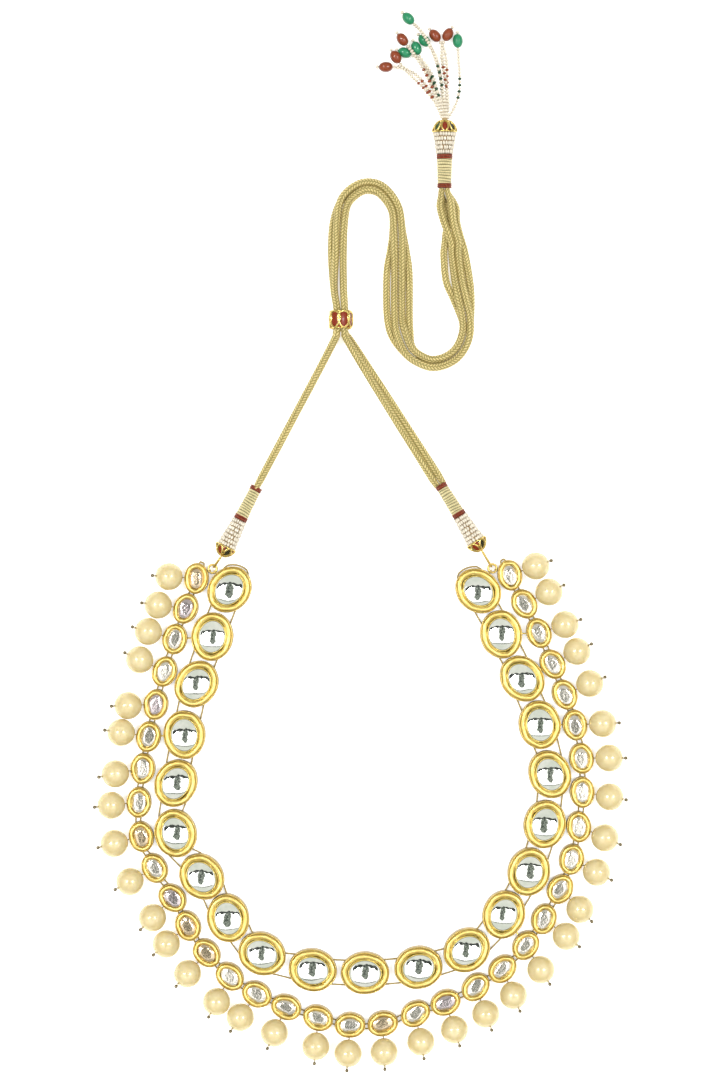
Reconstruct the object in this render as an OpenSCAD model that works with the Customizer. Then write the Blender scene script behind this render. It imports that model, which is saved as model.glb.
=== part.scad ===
// Kundan necklace, laid flat: a main row of domed stones, an outer row of small stones with
// pearl drops, two pairs of braided cords through a slider, and a tassel.
// Lengths are millimetres. The necklace lies on z = 0, with +Y from the drops to the tassel.

/* [Main row] */
// Length of a main setting
main_l = 17.8; // [15:0.1:20]
// Width of a main setting
main_w = 15.4; // [13:0.1:17]
// Height of a main setting's gold rim
main_h = 4.6; // [4.2:0.1:5.6]
// Width of the gold band round a main stone
main_band = 2.5; // [2.2:0.1:3]
// Height of a main stone's dome above its rim
main_dome = 1.4; // [0.6:0.1:2]
// Distance from the row's line to each of its two thread bores
main_bore_off = 4.5; // [3:0.1:5]

/* [Outer row] */
// Length of a small setting
small_l = 11.4; // [10:0.1:12.6]
// Width of a small setting
small_w = 9.1; // [8.6:0.1:10]
// Height of a small setting's gold rim
small_h = 4.4; // [4.2:0.1:5.4]
// Width of the gold band round a small stone
small_band = 2.3; // [2.1:0.1:2.5]
// Depth of a small stone's table below its rim
small_dip = 0.3; // [0.1:0.05:0.6]
// Distance from the row's line to each of its two thread bores
small_bore_off = 0.9; // [0.7:0.1:1.2]

/* [Stones] */
// Height of the seat that a stone's flat back rests on
seat_z = 2; // [1.8:0.1:2.4]
// Gap all round a stone
stone_gap = 0.1; // [0.05:0.01:0.2]
// Depth of the band's inner edge that holds a stone down
lip_t = 0.4; // [0.3:0.05:0.6]
// Undercut behind that edge
lip_in = 0.3; // [0.2:0.05:0.4]
// Number of facets round a small stone
facets = 10; // [8:1:12]

/* [Pearls and pins] */
// Diameter of a pearl
pearl_d = 10; // [9:0.1:10.4]
// Gap between a pearl and the small setting beside it
pearl_gap = 0.3; // [0.2:0.05:0.8]
// Diameter of a head pin's wire
pin_d = 0.4; // [0.3:0.02:0.44]
// Radius of the centre line of a pin's eye
pin_eye_r = 0.48; // [0.46:0.01:0.52]
// Height of the cross bar that a pin's eye hangs on
bar_z = 2.9; // [2.8:0.05:3]
// Diameter of the ball on a pin's end
ball_d = 1.3; // [1:0.1:1.6]
// Length of the pale stub between a pearl and the ball
stub_l = 0.6; // [0.3:0.1:1]

/* [Threads and links] */
// Diameter of the row threads and ties
thread_d = 0.6; // [0.4:0.02:0.7]
// Height of the thread bores
bore_z = 1.1; // [0.9:0.05:1.2]
// Radial clearance of a thread, pin or tie in its bore
bore_gap = 0.12; // [0.08:0.01:0.2]
// Centre-line radius of a junction ring
ring_r = 1.5; // [1.4:0.05:1.8]
// Diameter of a junction ring's wire
ring_wire_d = 0.64; // [0.5:0.02:0.66]
// Centre-line radius of an eye or of a link's end
eye_r = 0.66; // [0.64:0.01:0.8]
// Diameter of an eye's or link's wire
eye_wire_d = 0.5; // [0.4:0.02:0.52]
// Height of the junction rings
ring_z = 2.5; // [2.4:0.05:2.8]

/* [Cords] */
// Diameter of a braided cord
braid_d = 2.6; // [2.2:0.05:2.65]
// Diameter of a cord where it enters a band
braid_end_d = 1.86; // [1.5:0.02:1.9]
// Width of the slider across the cords
slider_d = 8.8; // [8.4:0.1:10]
// Length of the slider
slider_l = 6.6; // [5:0.1:7.6]
// Diameter of the slider's hole, round all four cords
slider_hole_d = 6.84; // [6.8:0.02:7.2]

/* [Side terminals] */
// Diameter of the first red band and of the winding's thin end
side_neck_d = 4.4; // [4:0.1:5]
// Diameter of the second red band and of the winding's thick end
side_waist_d = 5; // [4.6:0.1:6]
// Diameter of the end cap, and of the bead cone where it meets the cap
side_cap_d = 7.4; // [6.6:0.1:8]
// Length of the metal-thread winding
side_winding_l = 10.2; // [8:0.1:11]
// Length of the bead cone
side_cone_l = 10.8; // [9:0.1:11.6]
// Centre-line radius of the cap's own ring
cap_ring_r = 0.9; // [0.8:0.05:1.1]
// Length of each red band
band_l = 1.6; // [1:0.1:2]

/* [Tassel] */
// Diameter of the first red band and of the winding's thin end
tassel_neck_d = 5.2; // [5:0.1:5.4]
// Diameter of the second red band and of the winding's thick end
tassel_waist_d = 5.8; // [5.4:0.1:6.4]
// Diameter of the end cap, and of the bead cone where it meets the cap
tassel_cap_d = 9; // [8:0.1:10]
// Length of the metal-thread winding
tassel_winding_l = 8.8; // [7:0.1:9.4]
// Length of the bead cone
tassel_cone_l = 7.9; // [7:0.1:9]
// Diameter of the cap's mouth
mouth_d = 3.4; // [3:0.1:4]
// Diameter of a tassel string
string_d = 1.2; // [0.9:0.05:1.3]
// Length of an oval tassel bead
oval_l = 5.1; // [4.4:0.1:5.4]
// Width of an oval tassel bead
oval_w = 3.8; // [3.2:0.1:3.9]

/* [Hidden] */
$fn = 48;

gold = "goldenrod";
clear = "gainsboro";
cream = "wheat";
zari = "darkkhaki";
rust = "brown";

// The line of the main row, from the left end round to the right one
main_route = [
    [-47.5, -18], [-59.5, -52.5], [-67, -88.5], [-67, -107], [-57.5, -122.5], [-35.5, -150.5],
    [2, -157.5], [39, -149], [61.5, -120.5], [69, -85], [59, -50.5], [43, -18.5]
];
// The line of the outer row
outer_route = [
    [-59.5, -14], [-71, -47.5], [-79, -83], [-79.5, -108], [-68, -130.5], [-55.5, -150.5],
    [-37, -165.5], [-3, -176.5], [21, -172], [43, -162], [61, -146.5], [77, -116], [80.5, -79],
    [70, -45], [54.5, -12.8]
];
// Main row: [lean of the long axis from the row's line in degrees, gap to the next setting]
main_rows = [
    [-18, 0.6], [12, 0.6], [-17, 1.3], [16, 0.3], [-18, 0.7], [2, 0.8], [5, 0.2], [-20, 0.4],
    [6, 1.7], [-3, 1.3], [-1, 1.8], [1, 1], [3, 1.1], [14, 0.3], [9, 0.6], [-2, 0.6], [18, 0.8],
    [-12, 0.3], [17, 0.3], [-18, 0.3], [20, 0]
];
// Outer row: [lean of the long axis, least gap to the next, lean of the pearl from square outward]
outer_rows = [
    [14, 0.3, 15], [-1, 0.4, 12], [9, 1, 2], [-2, 1, -11], [5, 0.6, 15], [3, 0.4, 2],
    [5, 1, 18], [1, 1.1, 8], [0, 1.1, 0], [1, 1.3, -2], [15, 0.3, 14], [-6, 0.6, 9],
    [1, 0.6, 6], [-5, 0.4, 12], [-1, 0.3, -9], [2, 0.8, -4], [-4, 0.6, 12], [11, 0.6, 4],
    [-1, 1.1, -10], [13, 0.3, -7], [0, 1, -5], [13, 0.4, -11], [5, 0.7, -15], [2, 0.3, -20],
    [11, 1, -5], [-6, 0.3, -20], [2, 0.8, -10], [14, 1.3, -13], [5, 0.9, -6], [2, 1, -3],
    [-7, 0.3, -12], [4, 0.5, 4], [8, 1, 7], [-3, 0.5, -7], [4, 0.3, -1], [-13, 0, -6]
];
// Main settings that are tied to the nearest small one, counted from the left end
tied = [2, 4, 6, 14, 16, 18, 20];

// Routes of the four cords, from their band at the side to the band at the tassel
cord_a_route = [
    [30, 20.8, 2.2], [27.6, 25.2, 1.4], [-0.5, 68.5, 1.6], [-5.6, 76, 3], [-5.6, 84, 3],
    [-6, 92, 1.4], [-6.1, 105, 1.3], [-5.6, 116.5, 1.3], [-4.1, 122.9, 1.3], [0.6, 127, 1.3],
    [4.8, 127.3, 1.3], [8.4, 125, 1.3], [11.7, 119.6, 1.3], [12, 112, 1.3], [11, 105, 1.3],
    [9.8, 97, 1.3], [9.9, 82, 1.3], [11.8, 74, 1.3], [16.4, 68, 1.3], [20.6, 64.8, 1.3],
    [26, 62.9, 1.3], [31.6, 63.9, 1.3], [36.4, 67.2, 1.3], [39.6, 73, 1.3], [40.3, 80, 1.3],
    [40.5, 88, 1.3], [40, 94.5, 1.3], [38.4, 104, 1.3], [37.4, 108, 1.3], [36.2, 112, 1.3],
    [35.2, 116.5, 1.3], [35.1, 120.5, 1.3], [33.9, 123.4, 1.35], [32.05, 126.4, 1.7], [31.75, 127.9, 1.8]
];
cord_b_route = [
    [28.4, 19.8, 2.2], [25.4, 23.8, 1.4], [-2, 68, 4.3], [-5.6, 76, 5.8], [-5.6, 84, 5.8],
    [-6, 92, 4.2], [-6.1, 105, 4], [-5.6, 116.5, 4], [-4.1, 122.9, 4], [0.6, 127, 4],
    [4.8, 127.3, 4], [8.4, 125, 4], [11.7, 119.6, 4], [12.4, 112, 4], [12.6, 105, 3.6],
    [12.6, 97, 2.2], [12.6, 82, 1.3], [13.5, 75, 3.4], [16.5, 68.1, 4], [20.6, 64.8, 4],
    [26, 62.9, 4], [31.6, 63.9, 4], [36.4, 67.2, 4], [39.6, 73, 4], [40.1, 80, 4],
    [38.5, 88, 3.7], [37.3, 94.5, 1.6], [35.9, 104, 2.6], [35.9, 108, 3.6], [34.7, 112, 3.95],
    [33.7, 116.5, 4], [33, 122.6, 4], [31.95, 126.4, 3.95], [31.75, 127.75, 3.7]
];
cord_c_route = [
    [-37.5, 19.5, 3.6], [-35.5, 23.3, 4], [-12, 67.5, 4.3], [-8.4, 76, 5.8], [-8.4, 84, 5.8],
    [-9.4, 92, 4.2], [-8.8, 105, 3.5], [-8.3, 116.5, 3.7], [-6.5, 124.5, 4], [-0.6, 129.5, 4],
    [5.6, 129.9, 4], [10.4, 126.8, 4], [14.2, 120.5, 4], [15.2, 112, 4], [15.3, 105, 3.6],
    [15.3, 97, 2.7], [15.3, 82, 1.3], [16.2, 76, 3.8], [18.6, 70.1, 4], [22, 67.2, 4],
    [26, 65.7, 4], [30.5, 66.5, 4], [34.5, 69.3, 4], [36.9, 74, 4], [37.4, 79.5, 4],
    [35.8, 88, 3.5], [34.6, 94.5, 1.7], [33.5, 104, 1.4], [33.3, 108, 3], [31.9, 112, 4],
    [30.3, 116.5, 3.6], [29.2, 121, 3.1], [29.3, 123.4, 3.7], [29.65, 126.4, 3.95], [29.8, 127.75, 3.7]
];
cord_d_route = [
    [-37.5, 19.5, 1.7], [-35.5, 23.3, 1.3], [-12, 67.5, 1.6], [-8.4, 76, 3], [-8.4, 84, 3],
    [-9.6, 92, 1.4], [-10.4, 105, 1.3], [-9.6, 116.5, 1.3], [-6.4, 124.4, 1.3], [-0.6, 129.4, 1.3],
    [5.6, 129.9, 1.3], [10.4, 126.8, 1.3], [14.2, 120.5, 1.3], [15.6, 112, 1.3], [16.9, 105, 1.3],
    [17.9, 97, 1.3], [18, 82, 1.3], [18.2, 76.5, 1.3], [18.9, 70.7, 1.3], [22, 67.2, 1.3],
    [26, 65.7, 1.3], [30.5, 66.5, 1.3], [34.5, 69.3, 1.3], [36.9, 74, 1.3], [37.4, 79.5, 1.3],
    [34.1, 88, 1.3], [31.4, 94.5, 1.3], [30.6, 104, 1.3], [31, 108, 1.3], [31.4, 112, 1.3],
    [32.2, 116, 1.3], [31.9, 119.5, 1.3], [30.6, 122.9, 1.35], [29.6, 126.4, 1.65], [29.8, 127.9, 1.8]
];
// Where each terminal's first band meets its cords, and its heading: [x, y, z, degrees]
left_end = [-37.6, 19.3, 2.65, -117];
right_end = [29.3, 20.1, 2.25, -58];
tassel_end = [30.75, 128.2, 2.75, 90];
slider_at = [-7, 80];

// Tassel beads: [x, y, z, heading of the bead, heading of its string at the head, reach of the
// string's bend at the head, reach of its bend at the bead, lift of its bend at the bead]
tassel_rows = [
    [9.4, 172.4, 2, 180, 112, 12, 9, 0], [13, 175.7, 3.6, 124, 108, 11, 8, 0],
    [15.4, 182.1, 3.5, 129, 107, 12, 9, 2.2], [16.3, 177.6, 2, 162, 104, 12, 8, 0],
    [20.5, 179.2, 2, 113, 99, 10, 7, 0], [23.4, 182, 2, 134, 97, 10, 6, 0],
    [17.6, 190, 2.2, 135, 92, 15, 10, 6.5], [27.3, 183.8, 2, 129, 91, 10, 7, 0],
    [32, 184.1, 2.4, 59, 76, 10, 6, 0], [35.6, 181.9, 2, 92, 48, 10, 10, 0]
];

eps = 0.01;
seat_gap = 0.05;
wall_gap = 0.45;
tie_depth = 1.1;
path_steps = 12;
dome_steps = 6;
arc_step = 0.05741;
diagonal = 8119 / 5741;
foot_bevel = 0.3;
// A gold rim from its upright side to its collar: [in from the edge, down from the top]
rim_profile = [[0, 0.62], [0.2, 0.2], [0.6, 0], [1, 0.2], [1.15, 0.45], [1.35, 0.25], [1.7, 0.35]];
collar_drop = 1;
// Height of a dome's foot above its collar
dome_foot = 0.2;
// Wall between a tie's hole and the thread bores under it
tie_wall = 0.21;
// Rows of a cut stone's corners: [share of the height above its girdle, share of its size]
cut_levels = [[0, 1], [2 / 3, 0.78], [1, 0.5]];
// How far a winding and a cap stand in or out from the pieces they meet
winding_in = 0.2;
cone_out = 0.4;
cone_in = 0.1;
slider_bulge = 0.5;
// Spacing of the tassel's strings at their head, and how far the head reaches past its cap
string_step = 0.18;
head_out = 0.8;
head_in = 1.1;
// Half the gap between a string's end and the bead it runs through
bead_gap = 0.15;

// Points along a smooth curve through a route's points
function before(route, i) = i < 0 ? 2 * route[0] - route[1] : route[i];
function after(route, i) =
    i >= len(route) ? 2 * route[len(route) - 1] - route[len(route) - 2] : route[i];
function blend(p, q, r, s, t) =
    0.5 * (2 * q + (r - p) * t + (2 * p - 5 * q + 4 * r - s) * t * t
        + (3 * q - p - 3 * r + s) * t * t * t);
function smooth(route) = [
    for (i = [0:len(route) - 2]) for (j = [0:path_steps - 1])
        blend(before(route, i - 1), route[i], route[i + 1], after(route, i + 2), j / path_steps),
    route[len(route) - 1]
];
// Running total of a list
function totals(steps) = [
    for (i = 0, s = 0; i <= len(steps); s = s + (i < len(steps) ? steps[i] : 0), i = i + 1) s
];
// A line ready to be walked: [x by distance, y by distance, length]
function walk(route) = let (
    p = smooth(route),
    d = totals([for (i = [0:len(p) - 2]) norm(p[i + 1] - p[i])])
) [[for (i = [0:len(p) - 1]) [d[i], p[i][0]]], [for (i = [0:len(p) - 1]) [d[i], p[i][1]]], d[len(d) - 1]];
function at(line, s) = [lookup(s, line[0]), lookup(s, line[1])];
function heading(line, s) = let (
    d = at(line, min(s + 0.5, line[2])) - at(line, max(s - 0.5, 0))
) atan2(d[1], d[0]);

// Half the width of an oval l by w, measured along a line that its long axis leans from
function half_width(l, w, lean) = sqrt(pow(l / 2 * cos(lean), 2) + pow(w / 2 * sin(lean), 2));
// Distance from an oval's centre to its edge at an angle from its long axis
function edge(l, w, a) = 1 / sqrt(pow(2 * cos(a) / l, 2) + pow(2 * sin(a) / w, 2));
// Where a line parallel to the row, off to one side, leaves an oval: side is -1 behind, 1 ahead
function leave(l, w, lean, off, side) = let (
    a = pow(2 * cos(lean) / l, 2) + pow(2 * sin(lean) / w, 2),
    b = 2 * off * cos(lean) * sin(lean) * (pow(2 / l, 2) - pow(2 / w, 2)),
    c = pow(2 * off * sin(lean) / l, 2) + pow(2 * off * cos(lean) / w, 2) - 1
) (side * sqrt(b * b - 4 * a * c) - b) / (2 * a);
function turn(a) = [cos(a), sin(a)];

// Stations of the main row
main_line = walk(main_route);
main_n = len(main_rows);
main_steps = [for (i = [0:main_n - 2]) half_width(main_l, main_w, main_rows[i][0])
    + half_width(main_l, main_w, main_rows[i + 1][0]) + main_rows[i][1]];
main_at = totals(main_steps);
bib = main_at[main_n - 1] / main_line[2];
function main_pos(i) = bib * at(main_line, main_at[i] / bib);
function main_way(i) = heading(main_line, main_at[i] / bib);
function main_lean(i) = main_rows[i][0];

// Stations of the outer row: as many as fit on its line, spread to fill it
outer_line = walk(outer_route);
function outer_row(i) = outer_rows[i % len(outer_rows)];
outer_steps = [for (i = [0:2 * len(outer_rows)]) half_width(small_l, small_w, outer_row(i)[0])
    + half_width(small_l, small_w, outer_row(i + 1)[0]) + outer_row(i)[1]];
outer_totals = totals(outer_steps);
outer_n = len([for (s = outer_totals) if (s <= bib * outer_line[2] + 1) s]);
outer_spread = outer_line[2] / outer_totals[outer_n - 1];
function outer_pos(i) = bib * at(outer_line, outer_totals[i] * outer_spread);
function outer_way(i) = heading(outer_line, outer_totals[i] * outer_spread);
function outer_lean(i) = outer_row(i)[0];
function pearl_way(i) = outer_way(i) - 90 + outer_row(i)[2];
function small_edge(i) = edge(small_l, small_w, pearl_way(i) - outer_way(i) - outer_lean(i));
bar_depth = pin_eye_r + pin_d / 2 + bore_gap / 2;
pin_hole_r = pin_eye_r + pin_d / 2 + bore_gap;
function pearl_out(i) = small_edge(i) + pearl_gap + pearl_d / 2;
function pin_run(i) = pearl_out(i) - small_edge(i) + bar_depth;
function pin_tilt(i) = atan2(pearl_d / 2 - bar_z, pin_run(i));

// Small setting nearest to a main one
function nearest(p, i = 0, best = 0) = i == outer_n ? best
    : nearest(p, i + 1, norm(outer_pos(i) - p) < norm(outer_pos(best) - p) ? i : best);

// Junction rings, a wall gap clear of both end settings, found by closing in on where two circles meet
reach = wall_gap + ring_r;
function crossing(p, r, q, s) = let (
    d = norm(q - p), u = (q - p) / d, a = (r * r - s * s + d * d) / (2 * d),
    h = sqrt(max(0, r * r - a * a)), v = u[0] > 0 ? [-u[1], u[0]] : [u[1], -u[0]]
) p + a * u + h * v;
function facing(p, q) = atan2(q[1] - p[1], q[0] - p[0]);
function close_in(i, j, g, n) = n == 0 ? g : let (
    p = main_pos(i), q = outer_pos(j),
    r = edge(main_l, main_w, facing(p, g) - main_way(i) - main_lean(i)) + reach,
    s = edge(small_l, small_w, facing(q, g) - outer_way(j) - outer_lean(j)) + reach
) close_in(i, j, crossing(p, r, q, s), n - 1);
function junction(i, j) = close_in(i, j, (main_pos(i) + outer_pos(j)) / 2 + [0, 6], 6);
left_ring = junction(0, 0);
right_ring = junction(main_n - 1, outer_n - 1);

// Terminal: [start, heading, neck, waist, cap, winding length, cone length]
side_sizes = [side_neck_d, side_waist_d, side_cap_d, side_winding_l, side_cone_l];
tassel_sizes = [tassel_neck_d, tassel_waist_d, tassel_cap_d, tassel_winding_l, tassel_cone_l];
terminals = [[left_end, side_sizes], [right_end, side_sizes], [tassel_end, tassel_sizes]];
function to_cap(t) = 2 * band_l + t[1][3] + t[1][4] + 4 * seat_gap;
function rise(t) = asin((t[1][2] / 2 - t[0][2]) / to_cap(t));
function along(t, s) = [
    t[0][0] + s * cos(rise(t)) * cos(t[0][3]), t[0][1] + s * cos(rise(t)) * sin(t[0][3]),
    t[0][2] + s * sin(rise(t))
];
function cap_ring_at(t) = along(t, to_cap(t) + t[1][2] / 2 + cap_ring_r - eye_wire_d / 2);
// The string's head ends this far past the tassel cap's flat base
cap_depth = sqrt(pow(tassel_cap_d / 2, 2) - pow(mouth_d / 2, 2));

// A unit vector, and the faces of a tube of m rings with n sides
function unit(v) = v / norm(v);
function tube_faces(m, n, closed) = concat(
    [for (i = [0:m - (closed ? 1 : 2)]) for (j = [0:n - 1]) let (
        a = i * n + j, b = i * n + (j + 1) % n, c = ((i + 1) % m) * n + j, d = ((i + 1) % m) * n + (j + 1) % n
    ) each [[a, c, d], [a, d, b]]],
    closed ? [] : [[for (j = [0:n - 1]) j], [for (j = [n - 1:-1:0]) (m - 1) * n + j]]
);
// Wire round a closed loop of points that lie in a plane with the normal up
module loop_tube(points, up, r, n) {
    m = len(points);
    rings = [for (i = [0:m - 1]) let (
        t = unit(points[(i + 1) % m] - points[(i + m - 1) % m]), s = cross(up, t)
    ) for (j = [0:n - 1]) points[i] + r * (cos(360 * j / n) * s + sin(360 * j / n) * up)];
    polyhedron(points = rings, faces = tube_faces(m, n, true), convexity = 8);
}
// Tube along an open run of points, with a radius for each
module run_tube(points, radii, n) {
    m = len(points);
    rings = [for (i = [0:m - 1]) let (
        t = unit(points[min(i + 1, m - 1)] - points[max(i - 1, 0)]),
        s = unit(cross([0, 0, 1], t)), u = cross(t, s)
    ) for (j = [0:n - 1]) points[i] + radii[i] * (cos(360 * j / n) * s + sin(360 * j / n) * u)];
    polyhedron(points = rings, faces = tube_faces(m, n, false), convexity = 8);
}
// Turns a child that stands along +Z to point along a heading and a rise
module point_along(p, way, tilt) translate(p) rotate([0, 90 - tilt, way]) children();
// Turns a section round an oval of four arcs, l by w. The section reads $edge_r, the radius of its
// edge, and $flat_r, how far out the end arcs' own axis lies. The arcs' axes are shifted in whole
// steps whose diagonal also has five decimals, so that the arcs' ends meet when the numbers are rounded
module oval_turn(l, w) {
    shift = arc_step * round((l - w) / 2 / (2 - 1 / cos(45)) / arc_step);
    end_r = l / 2 - shift;
    side_r = end_r + shift * diagonal;
    for (half = [0, 180]) rotate(half) {
        translate([shift, 0]) let ($edge_r = end_r, $flat_r = 0)
            rotate_extrude(angle = 90, start = -45) children();
        translate([0, -shift]) let ($edge_r = side_r, $flat_r = side_r - end_r)
            rotate_extrude(angle = 90, start = 45) children();
    }
}
function five(v) = round(v * 100000) / 100000;
// Section out to an edge drawn in by inset, between two heights
module disc_section(inset, low, high) translate([0, low]) square([$edge_r - inset, high - low]);

// Outline of a setting's section: rounded rim, groove, collar, holding edge, undercut pocket
module setting_section(h, band) {
    r = $edge_r;
    inner = r - band;
    collar = h - collar_drop;
    polygon(concat(
        [[0, 0], [r - foot_bevel, 0], [r, foot_bevel]],
        [for (q = rim_profile) [r - q[0], h - q[1]]],
        [[inner, collar], [inner, collar - lip_t], [inner + lip_in, collar - lip_t],
            [inner + lip_in, seat_z], [0, seat_z]]
    ));
}
// Wire ring whose hole stands upright, across a heading
module eye(p, way, z) translate([p[0], p[1], z]) rotate([90, 0, way])
    rotate_extrude() translate([eye_r, 0]) circle(d = eye_wire_d, $fn = 24);
// Eye on an end setting, round the junction ring's wire
module ring_eye(p, ring) {
    way = facing(p, ring);
    eye(ring - ring_r * turn(way), way, ring_z);
}
module thread_bores(l, w, way, off) for (side = [-1, 1])
    rotate(way) translate([-l, side * off, bore_z]) rotate([0, 90, 0])
        cylinder(d = thread_d + 2 * bore_gap, h = 2 * l, $fn = 24);
// Blind hole for a tie, from outside the rim towards the centre
module tie_hole(out, way) rotate(way) translate([out - tie_depth, 0, tie_z]) rotate([0, 90, 0])
    cylinder(d = thread_d + 2 * bore_gap, h = 3, $fn = 24);
tie_z = bore_z + thread_d + 2 * bore_gap + tie_wall;

module main_setting(i) {
    p = main_pos(i);
    way = main_way(i);
    color(gold) {
        difference() {
            translate([p[0], p[1], 0]) rotate(way + main_lean(i))
                oval_turn(main_l, main_w) setting_section(main_h, main_band);
            translate([p[0], p[1], 0]) thread_bores(main_l, main_w, way, main_bore_off);
            if (len(search(i + 1, tied)) > 0) {
                away = facing(p, outer_pos(nearest(p)));
                translate([p[0], p[1], 0])
                    tie_hole(edge(main_l, main_w, away - way - main_lean(i)), away);
            }
        }
        if (i == 0) ring_eye(p, left_ring);
        if (i == main_n - 1) ring_eye(p, right_ring);
    }
}
// Section of a dome: up from its edge in an arc that is level at the top, then flat to the axis
module dome_section(inset, low, edge_z, top) {
    run = $edge_r - inset - $flat_r;
    ball_r = (run * run + pow(top - edge_z, 2)) / (2 * (top - edge_z));
    sweep = asin(run / ball_r);
    polygon(concat(
        [[0, low], [$edge_r - inset, low]],
        [for (k = [dome_steps:-1:1])
            [$flat_r + five(ball_r * sin(k / dome_steps * sweep)),
                top - five(ball_r * (1 - cos(k / dome_steps * sweep)))]],
        $flat_r > 0 ? [[$flat_r, top], [0, top]] : [[0, top]]
    ));
}
// Domed stone: a girdle held under the band's edge, and a dome in the opening
module main_stone(i) {
    p = main_pos(i);
    collar = main_h - collar_drop;
    color(clear) translate([p[0], p[1], 0]) rotate(main_way(i) + main_lean(i)) oval_turn(main_l, main_w) {
        disc_section(main_band - lip_in + stone_gap, seat_z, collar - lip_t - stone_gap);
        dome_section(main_band + stone_gap, seat_z, collar + dome_foot, main_h + main_dome);
    }
}

module outer_settings() color(gold) for (i = [0:outer_n - 1]) {
    p = outer_pos(i);
    way = outer_way(i);
    out = small_edge(i);
    translate([p[0], p[1], 0]) {
        difference() {
            rotate(way + outer_lean(i)) oval_turn(small_l, small_w) setting_section(small_h, small_band);
            thread_bores(small_l, small_w, way, small_bore_off);
            rotate(pearl_way(i)) translate([out - bar_depth - pin_hole_r, 0, bar_z])
                rotate([0, 90, 0]) cylinder(r = pin_hole_r, h = 4, $fn = 24);
            for (k = tied) if (nearest(main_pos(k - 1)) == i) {
                away = facing(p, main_pos(k - 1));
                tie_hole(edge(small_l, small_w, away - way - outer_lean(i)), away);
            }
        }
        rotate(pearl_way(i)) translate([out - bar_depth, -pin_hole_r - 0.3, bar_z])
            rotate([-90, 0, 0]) cylinder(d = pin_d, h = 2 * pin_hole_r + 0.6, $fn = 24);
    }
    if (i == 0) ring_eye(p, left_ring);
    if (i == outer_n - 1) ring_eye(p, right_ring);
}
// Cut stone: flat back, upright girdle, two rows of facets and a table
module cut_stone(l, w, low, girdle, top) {
    levels = concat([[low, 1]], [for (v = cut_levels) [girdle + v[0] * (top - girdle), v[1]]]);
    points = [for (k = [0:3]) for (j = [0:facets - 1])
        let (a = (j + (k == 2 ? 0.5 : 0)) * 360 / facets)
            [levels[k][1] * l / 2 * cos(a), levels[k][1] * w / 2 * sin(a), levels[k][0]]];
    faces = concat(
        [[for (j = [0:facets - 1]) j]],
        [for (k = [0:2]) for (j = [0:facets - 1]) let (
            a = k * facets + j, b = k * facets + (j + 1) % facets, c = a + facets, d = b + facets
        ) each k == 1 ? [[a, c, b], [b, c, d]] : [[a, c, d], [a, d, b]]],
        [[for (j = [facets - 1:-1:0]) 3 * facets + j]]
    );
    polyhedron(points = points, faces = faces, convexity = 2);
}
module outer_stones() color("mistyrose") for (i = [0:outer_n - 1]) {
    p = outer_pos(i);
    inset = 2 * (small_band + stone_gap);
    translate([p[0], p[1], 0]) rotate(outer_way(i) + outer_lean(i))
        cut_stone(small_l - inset, small_w - inset, seat_z, small_h - collar_drop - lip_t, small_h - small_dip);
}

module pearls() color(cream) for (i = [0:outer_n - 1]) {
    p = outer_pos(i) + pearl_out(i) * turn(pearl_way(i));
    point_along([p[0], p[1], pearl_d / 2], pearl_way(i), pin_tilt(i)) difference() {
        sphere(d = pearl_d);
        cylinder(d = pin_d + 2 * bore_gap, h = pearl_d + 1, center = true, $fn = 24);
    }
}
module head_pins() color(gold) for (i = [0:outer_n - 1]) {
    p = outer_pos(i) + (small_edge(i) - bar_depth) * turn(pearl_way(i));
    mid = pin_run(i) / cos(pin_tilt(i));
    stub_z = mid + pearl_d / 2 + seat_gap;
    point_along([p[0], p[1], bar_z], pearl_way(i), pin_tilt(i)) {
        rotate([90, 0, 0]) rotate_extrude() translate([pin_eye_r, 0]) circle(d = pin_d, $fn = 16);
        translate([0, 0, pin_eye_r]) cylinder(d = pin_d, h = stub_z + stub_l - pin_eye_r, $fn = 24);
        translate([0, 0, stub_z]) cylinder(d = 2 * pin_d, h = stub_l + eps, $fn = 24);
        translate([0, 0, stub_z + stub_l + ball_d / 2 - 0.1]) sphere(d = ball_d, $fn = 32);
    }
}

// One side of a thread: where it leaves each bore, in order along the row
function bore_points(n, pos, way, lean, l, w, off) = [
    for (i = [0:n - 1]) for (side = [-1, 1]) let (
        t = leave(l, w, lean[i], off, side) + side * bore_gap
    ) pos[i] + t * turn(way[i]) + off * turn(way[i] + 90)
];
// The turn of a thread round an end setting, from one bore's mouth to the other's, clockwise
function round_end(p, axis, l, w, from, to) = let (
    grow = thread_d / 2 + bore_gap + 0.15,
    a = l / 2 + grow, b = w / 2 + grow,
    f = norm(from - p) * turn(facing(p, from) - axis), g = norm(to - p) * turn(facing(p, to) - axis),
    s = atan2(f[1] / b, f[0] / a), e0 = atan2(g[1] / b, g[0] / a), e = e0 > s ? e0 - 360 : e0
) [for (j = [1:6]) let (q = s + (e - s) * j / 7) p + a * cos(q) * turn(axis) + b * sin(q) * turn(axis + 90)];
function backwards(v) = [for (i = [len(v) - 1:-1:0]) v[i]];
module row_thread(n, pos, way, lean, l, w, off) {
    left = bore_points(n, pos, way, lean, l, w, off);
    right = backwards(bore_points(n, pos, way, lean, l, w, -off));
    m = len(left);
    loop = concat(
        left, round_end(pos[n - 1], way[n - 1] + lean[n - 1], l, w, left[m - 1], right[0]),
        right, round_end(pos[0], way[0] + lean[0], l, w, right[m - 1], left[0])
    );
    loop_tube([for (p = loop) [p[0], p[1], bore_z]], [0, 0, 1], thread_d / 2, 6);
}
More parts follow.
